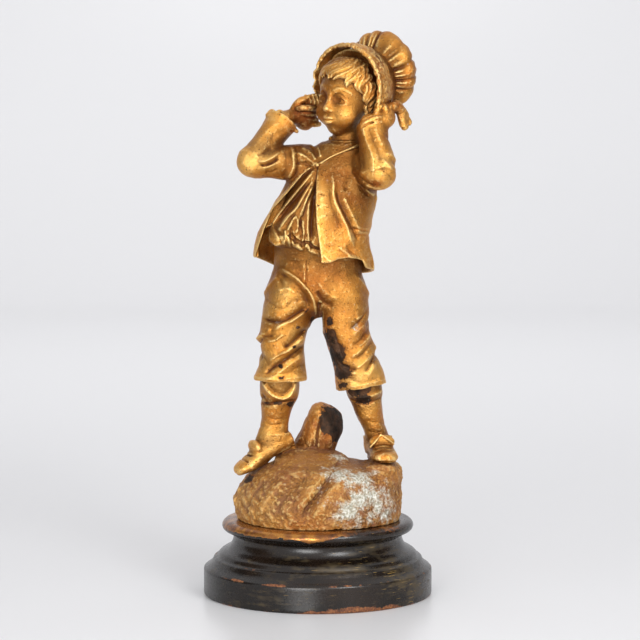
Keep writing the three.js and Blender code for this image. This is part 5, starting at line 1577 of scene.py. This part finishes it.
def turned_socle(material):
    profile = socle_profile()
    turns = np.linspace(0, 2 * math.pi, SOCLE_SIDES, endpoint=False)
    draw = np.random.default_rng(31)
    radius = profile[:, 0][:, None] + np.zeros(SOCLE_SIDES)
    height = profile[:, 1][:, None] + np.zeros(SOCLE_SIDES)
    # Knocks have bruised the drum's top edge and the rim.
    for _ in range(KNOCKS):
        level, at = draw.choice(KNOCK_LEVELS), draw.uniform(0, 2 * math.pi)
        deep, wide = draw.uniform(0.15, 0.5), draw.uniform(0.012, 0.05)
        apart = np.angle(np.exp(1j * (turns - at)))
        dent = np.exp(-(apart / wide) ** 2) * np.exp(-((profile[:, 1][:, None] - level) / 1.3) ** 2)
        radius = radius - deep * dent * (profile[:, 0][:, None] > 60)
    ring = np.stack([radius * np.cos(turns), radius * np.sin(turns), height], 2)[1:-1]
    count = ring.shape[0]
    points = np.vstack([ring.reshape(-1, 3), [[0, 0, profile[0, 1]], [0, 0, profile[-1, 1]]]])
    index = np.arange(count * SOCLE_SIDES).reshape(count, SOCLE_SIDES)
    after = np.roll(index, -1, axis=1)
    quads = np.stack([index[:-1], after[:-1], after[1:], index[1:]], 2).reshape(-1, 4)
    base, top = count * SOCLE_SIDES, count * SOCLE_SIDES + 1
    halves = np.vstack([quads[:, [0, 1, 2]], quads[:, [0, 2, 3]]])
    under = np.stack([after[0], index[0], np.full(SOCLE_SIDES, base)], 1)
    over = np.stack([index[-1], after[-1], np.full(SOCLE_SIDES, top)], 1)
    faces = np.vstack([halves, under, over])
    mesh = mesh_of("turned_socle", points, faces)
    piece = piece_of("turned_socle", mesh, material)
    at = places(mesh)
    around = np.hypot(at[:, 0], at[:, 1])
    bulge = np.zeros(len(at))
    for level, width, most in WORN_EDGES:
        bulge = np.maximum(bulge, most * np.exp(-((at[:, 2] - level) / width) ** 2) * (around > 60))
    mark(mesh, "edge", bulge)
    mark(mesh, "chips", patches(at, SOCLE_CHIPS))
    mark(mesh, "grime", patches(at, SOCLE_GRIME))
    # The rim's paint reaches down furthest in a lick in front, and next on the boy's right.
    lick = np.exp(-((at[:, 0] + 4) / 12) ** 2 - ((at[:, 1] + 71) / 14) ** 2)
    reach = 53.6 - 3.6 * lick - 2.6 * np.exp(-((at[:, 0] + 52) / 38) ** 2)
    mark(mesh, "gold", 0.5 + 0.13 * (at[:, 2] - reach) * (around > 56))
    mark(mesh, "rubbed", patches(at, SOCLE_RUBS))
    return piece


# Materials

def tone(code):
    """An sRGB colour given as hex, as linear red, green, blue and alpha."""
    parts = [int(code[i:i + 2], 16) / 255 for i in (1, 3, 5)]
    return (*(p / 12.92 if p <= 0.04045 else ((p + 0.055) / 1.055) ** 2.4 for p in parts), 1.0)


def per_mm(size):
    """A pattern's scale for features of the given size in millimetres."""
    return 1 / (size * MM)


def add_node(tree, kind, inputs=(), **settings):
    """Adds a node with its settings, and its inputs as values or as the sockets that feed them, by name
    or in order. Gives the node's first output that is in use."""
    node = tree.nodes.new("ShaderNode" + kind)
    for name, value in settings.items():
        if name == "stops":
            while len(node.color_ramp.elements) < len(value):
                node.color_ramp.elements.new(0.5)
            for element, (position, colour) in zip(node.color_ramp.elements, value):
                element.position, element.color = position, colour
        else:
            setattr(node, name, value)
    for name, value in inputs.items() if isinstance(inputs, dict) else enumerate(inputs):
        if isinstance(value, bpy.types.NodeSocket):
            tree.links.new(value, node.inputs[name])
        else:
            node.inputs[name].default_value = value
    return next((socket for socket in node.outputs if socket.enabled), None)


def new_material(name):
    material = bpy.data.materials.new(name)
    material.use_nodes = True
    tree = material.node_tree
    tree.nodes.clear()
    return material, tree


def gilt_zinc():
    """Zinc cast in sections and painted with bronze powder: a warm metal sheen, brightest on the crests where
    hands have polished it and a highlight is painted, brown in the hollows with dirt and painted shade, darker
    with painted shade under cover and in dull patches, with dark bare zinc and white bloom showing through."""
    material, tree = new_material("zinc_cast_and_painted_with_bronze_powder")
    place = add_node(tree, "TexCoord").node.outputs["Object"]
    hollow, sheltered, earth, dull, bare, bloom = (
        add_node(tree, "Attribute", attribute_name=mark).node.outputs["Fac"]
        for mark in ("hollow", "sheltered", "earth", "dull", "bare", "bloom"))
    broad, middling, clump, fine, grit, pit = (
        add_node(tree, "TexNoise", {"Vector": place, "Scale": per_mm(size), "Detail": detail,
                                    "Roughness": rough})
        for size, detail, rough in ((28, 3, 0.55), (7, 4, 0.55), (6.5, 5, 0.68), (1.7, 3, 0.6), (0.8, 2, 0.6),
                                    (1.2, 1, 0.5)))

    # The paint goes from coppery to lemon gold in cloudy zones, the turf from brown to dull gold on its
    # crests, the bare zinc is dark with age, and the bloom is chalky.
    gold, zinc, chalk = (
        add_node(tree, "ValToRGB", [grain], stops=[(at, tone(code)) for at, code in stops])
        for grain, stops in ((broad, ((0.3, "#B66E2A"), (0.5, "#D0903E"), (0.72, "#E8B260"))),
                             (middling, ((0.35, "#1E1814"), (0.5, "#382A20"), (0.68, "#5A3E2A"))),
                             (fine, ((0.34, "#8A8878"), (0.5, "#B4B4A6"), (0.66, "#DEE0DA")))))
    turf = tone("#4E2E12")
    for grain, low, high, code in ((fine, 0.35, 0.62, "#A06C2C"), (middling, 0.42, 0.66, "#8C5C3C")):
        crests = add_node(tree, "MapRange", (grain, low, high), interpolation_type="SMOOTHSTEP")
        turf = add_node(tree, "Mix", {0: crests, 6: turf, 7: tone(code)}, data_type="RGBA")

    # What each coat depends on: sums of marks and grains, as a start with sources and their shares.
    lifted = add_node(tree, "Math", (middling, 0.7, -0.35), operation="MULTIPLY_ADD")
    sums = []
    for total, parts in ((0.0, ((dull, 0.6), (middling, 0.6))), (hollow, ((lifted, 1.0),)),
                         (sheltered, ((lifted, 0.4),)), (fine, ((hollow, -1.0),)),
                         (bare, ((middling, 1.3), (fine, 0.5))), (bloom, ((clump, 2.4), (fine, 0.6))),
                         (0.45, ((dull, 0.4),))):
        for source, share in parts:
            total = add_node(tree, "Math", (source, share, total), operation="MULTIPLY_ADD")
        sums.append(total)
    faded_and_shaded, sunk, covered, crest_polish_and_highlight, ragged, flecks, cover = sums
    soil = add_node(tree, "Math", (earth, cover), operation="MULTIPLY")

    # Then soft steps: thin paint, which also carries painted shade from the dull patches, dirt and painted
    # shade in the hollows, painted shade under cover, polish and a painted highlight on crests, and pits, then
    # zinc with a rusty margin, and bloom with a haze round it.
    thin, dirt_and_shade, shade, worn, pits, margin, lost, haze, white = (
        add_node(tree, "MapRange", (source, low, high, 0.0, most), interpolation_type="SMOOTHSTEP")
        for source, low, high, most in ((faded_and_shaded, 0.4, 0.85, 1.0), (sunk, 0.1, 0.8, 1.0),
                                        (covered, 0.42, 1.1, 0.76),
                                        (crest_polish_and_highlight, 0.55, 1.0, 0.6), (pit, 0.66, 0.74, 0.8),
                                        (ragged, 1.18, 1.38, 0.6), (ragged, 1.36, 1.44, 1.0),
                                        (flecks, 1.75, 2.4, 0.4), (flecks, 1.86, 2.5, 1.0)))
    dusty = add_node(tree, "Math", (white, 0.85), operation="MULTIPLY")
    colour = gold
    # Among these coats the worn gold on crests is partly a painted highlight, the dirt is partly painted shade,
    # and the shade is painted shade.
    for mask, coat in ((thin, tone("#9E5620")), (dirt_and_shade, tone("#64340F")), (shade, tone("#4A230A")),
                       (worn, tone("#F4D48C")), (pits, tone("#42240E")), (soil, turf),
                       (margin, tone("#8E5224")), (lost, zinc), (haze, tone("#A8906E")), (dusty, chalk)):
        colour = add_node(tree, "Mix", {0: mask, 6: colour, 7: coat}, data_type="RGBA")

    # Paint is nearly all metal, and less so under the dirt and painted shade of the hollows, on the turf and
    # where it is lost.
    metal, rough, relief = 0.86, 0.25, 0.0
    for source, share in ((dirt_and_shade, -0.35), (lost, -0.05), (earth, -0.5), (dusty, -1.0)):
        metal = add_node(tree, "Math", (source, share, metal), operation="MULTIPLY_ADD", use_clamp=True)
    for source, share in ((fine, 0.24), (dirt_and_shade, 0.2), (thin, 0.1), (lost, 0.2), (white, 0.3), (earth, 0.2)):
        rough = add_node(tree, "Math", (source, share, rough), operation="MULTIPLY_ADD", use_clamp=True)
    crumbs = add_node(tree, "Math", (earth, fine), operation="MULTIPLY")
    for source, share in ((fine, 1.0), (grit, 0.9), (pits, -0.6), (lost, -0.5), (crumbs, 1.8), (white, 0.4)):
        relief = add_node(tree, "Math", (source, share, relief), operation="MULTIPLY_ADD")
    bump = add_node(tree, "Bump", {"Strength": 0.95, "Distance": 0.45 * MM, "Height": relief})
    shader = add_node(tree, "BsdfPrincipled", {"Base Color": colour, "Metallic": metal, "Roughness": rough,
                                               "Normal": bump})
    add_node(tree, "OutputMaterial", [shader])
    return material


def lacquered_wood():
    """Turned wood in black lacquer: deep gloss gone patchy with grime, brown wood on the knocked edges,
    and bronze paint on the rim that runs over raggedly on to the black."""
    material, tree = new_material("turned_wood_in_black_lacquer")
    place = add_node(tree, "TexCoord").node.outputs["Object"]
    edge, chips, grime, gold, rubbed = (
        add_node(tree, "Attribute", attribute_name=mark).node.outputs["Fac"]
        for mark in ("edge", "chips", "grime", "gold", "rubbed"))
    grains = []
    for size, detail, squeeze in ((30, 3, 1), (6, 5, 1), (1.4, 4, 1), (14, 4, 7), (9, 4, 16)):
        squeezed = add_node(tree, "Mapping", {"Vector": place, "Scale": (1, 1, squeeze)})
        grains.append(add_node(tree, "TexNoise", {"Vector": squeezed, "Scale": per_mm(size), "Detail": detail}))
    broad, middling, fine, streak, scratch = grains

    # Wood shows in chips and in broken lines along the edges, and the rim's bronze is rubbed back to brown.
    knocks = add_node(tree, "Math", (edge, broad), operation="MULTIPLY")
    masks = []
    for total, parts, low, high, most in (
            (-0.2, ((streak, 1.1), (middling, 0.8), (grime, 0.4)), 0.82, 1.3, 0.5),
            (chips, ((knocks, 1.4), (middling, 1.4)), 1.36, 1.5, 0.9),
            (scratch, ((grime, 0.13),), 0.71, 0.78, 0.6),
            (gold, ((middling, 1.0),), 0.97, 1.03, 1.0),
            (rubbed, ((middling, 1.2), (fine, 0.5)), 0.62, 1.4, 1.0)):
        for source, share in parts:
            total = add_node(tree, "Math", (source, share, total), operation="MULTIPLY_ADD")
        masks.append(add_node(tree, "MapRange", (total, low, high, 0.0, most), interpolation_type="SMOOTHSTEP"))
    grimy, chipped, scraped, painted, worn = masks
    colour, wood, bronze = (
        add_node(tree, "ValToRGB", [grain], stops=[(at, tone(code)) for at, code in stops])
        for grain, stops in ((broad, ((0.4, "#0D0805"), (0.7, "#1C120A"))),
                             (fine, ((0.36, "#4E2C1C"), (0.5, "#704024"), (0.68, "#926034"))),
                             (worn, ((0.1, "#AC7638"), (0.4, "#7C4C26"), (0.9, "#26160E")))))
    for mask, coat in ((grimy, tone("#54462C")), (chipped, wood), (scraped, tone("#A0824A")),
                       (painted, bronze)):
        colour = add_node(tree, "Mix", {0: mask, 6: colour, 7: coat}, data_type="RGBA")

    # The bronze keeps its metal only where it isn't rubbed away.
    left = add_node(tree, "Math", (worn, -0.75, 0.8), operation="MULTIPLY_ADD")
    metal = add_node(tree, "Math", (painted, left), operation="MULTIPLY")
    rough, relief = 0.18, 0.0
    for source, share in ((grimy, 0.5), (chipped, 0.3), (fine, 0.16)):
        rough = add_node(tree, "Math", (source, share, rough), operation="MULTIPLY_ADD")
    for source, share in ((middling, 0.4), (fine, 0.3), (chipped, -0.6), (grimy, 0.3), (painted, 0.3)):
        relief = add_node(tree, "Math", (source, share, relief), operation="MULTIPLY_ADD")
    bump = add_node(tree, "Bump", {"Strength": 0.45, "Distance": 0.4 * MM, "Height": relief})
    shader = add_node(tree, "BsdfPrincipled", {"Base Color": colour, "Metallic": metal, "Roughness": rough,
                                               "Normal": bump, "Specular IOR Level": 0.42})
    add_node(tree, "OutputMaterial", [shader])
    return material


def matt_paper():
    """A seamless studio sweep of pale paper with a faint sheen."""
    material, tree = new_material("pale_studio_paper")
    place = add_node(tree, "TexCoord").node.outputs["Object"]
    grain = add_node(tree, "TexNoise", {"Vector": place, "Scale": per_mm(4), "Detail": 3.0})
    bump = add_node(tree, "Bump", {"Strength": 0.03, "Distance": 0.1 * MM, "Height": grain})
    shader = add_node(tree, "BsdfPrincipled", {"Base Color": tone("#DADADB"), "Roughness": 0.3, "Normal": bump})
    add_node(tree, "OutputMaterial", [shader])
    return material


# Studio

SWEEP_HALF_WIDTH = 4.0
SWEEP_FRONT = -4.0
SWEEP_BACK = 2.3
SWEEP_CURVE = 0.8
SWEEP_TOP = 4.0


def paper_sweep():
    """One sheet from the floor in front, through a wide curve, up behind the object."""
    profile = [(SWEEP_FRONT, 0.0), (SWEEP_BACK, 0.0)]
    profile += [(SWEEP_BACK + SWEEP_CURVE * math.sin(a), SWEEP_CURVE * (1 - math.cos(a)))
                for a in np.linspace(0.1, math.pi / 2, 16)]
    profile.append((SWEEP_BACK + SWEEP_CURVE, SWEEP_TOP))
    points = np.array([(x, y, z) for y, z in profile for x in (-SWEEP_HALF_WIDTH, SWEEP_HALF_WIDTH)]) / MM
    faces = np.array([(2 * i, 2 * i + 1, 2 * i + 3, 2 * i + 2) for i in range(len(profile) - 1)])
    sweep = piece_of("paper_sweep", mesh_of("paper_sweep", points, faces), matt_paper())


def side_cards():
    """A grey card at either side, which darkens the edges of the metal's forms and is never in the picture."""
    material, tree = new_material("grey_card")
    add_node(tree, "OutputMaterial", [add_node(tree, "BsdfPrincipled",
                                               {"Base Color": tone("#4A4642"), "Roughness": 0.8})])
    for name, side in (("left_card", -1), ("right_card", 1)):
        points = np.array([(side * 900, y, z) for y, z in ((-350, 150), (450, 150), (450, 1000), (-350, 1000))])
        card = piece_of(name, mesh_of(name, points, np.array([(0, 1, 2, 3)])), material)
        card.visible_camera = False


def soft_light(name, place, aim, size, power):
    """A round lamp, kept out of the picture. Place and aim are in millimetres, its width in metres."""
    lamp = bpy.data.lights.new(name, "AREA")
    lamp.shape, lamp.size, lamp.energy = "DISK", size, power
    light = bpy.data.objects.new(name, lamp)
    light.visible_camera = False
    bpy.context.scene.collection.objects.link(light)
    light.location = [p * MM for p in place]
    direction = unit(np.subtract(aim, place))
    light.rotation_euler = (math.acos(-direction[2]), 0, math.atan2(direction[1], direction[0]) - math.pi / 2)


def camera():
    view = bpy.data.objects.new("camera", bpy.data.cameras.new("camera"))
    view.data.lens = CAMERA_LENS
    view.data.sensor_width = 36
    view.data.clip_end = 50
    view.location = [p * MM for p in CAMERA_PLACE]
    view.rotation_euler = (math.radians(90 - CAMERA_TILT), 0, 0)
    bpy.context.scene.collection.objects.link(view)
    bpy.context.scene.camera = view


def world_light():
    world = bpy.data.worlds.new("studio_room")
    world.use_nodes = True
    tree = world.node_tree
    tree.nodes.clear()
    glow = add_node(tree, "Background", (tone("#E4E4E6"), 1.28))
    add_node(tree, "OutputWorld", [glow])
    bpy.context.scene.world = world


camera()
world_light()
paper_sweep()
soft_light("key_light", (900, -1500, 1050), (0, 0, 210), 0.8, 19)
soft_light("fill_light", (-500, -1900, 300), (0, 0, 170), 0.9, 22.5)
soft_light("paper_light", (0, 1500, 1500), (0, 2600, 150), 1.2, 6)
side_cards()
bpy.context.scene.view_settings.view_transform = "Standard"

for piece in gilt_figure(gilt_zinc()):
    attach(piece, "root")
    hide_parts("boy_figure")

base = turned_socle(lacquered_wood())
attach(base, "root")
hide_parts("wood_socle")
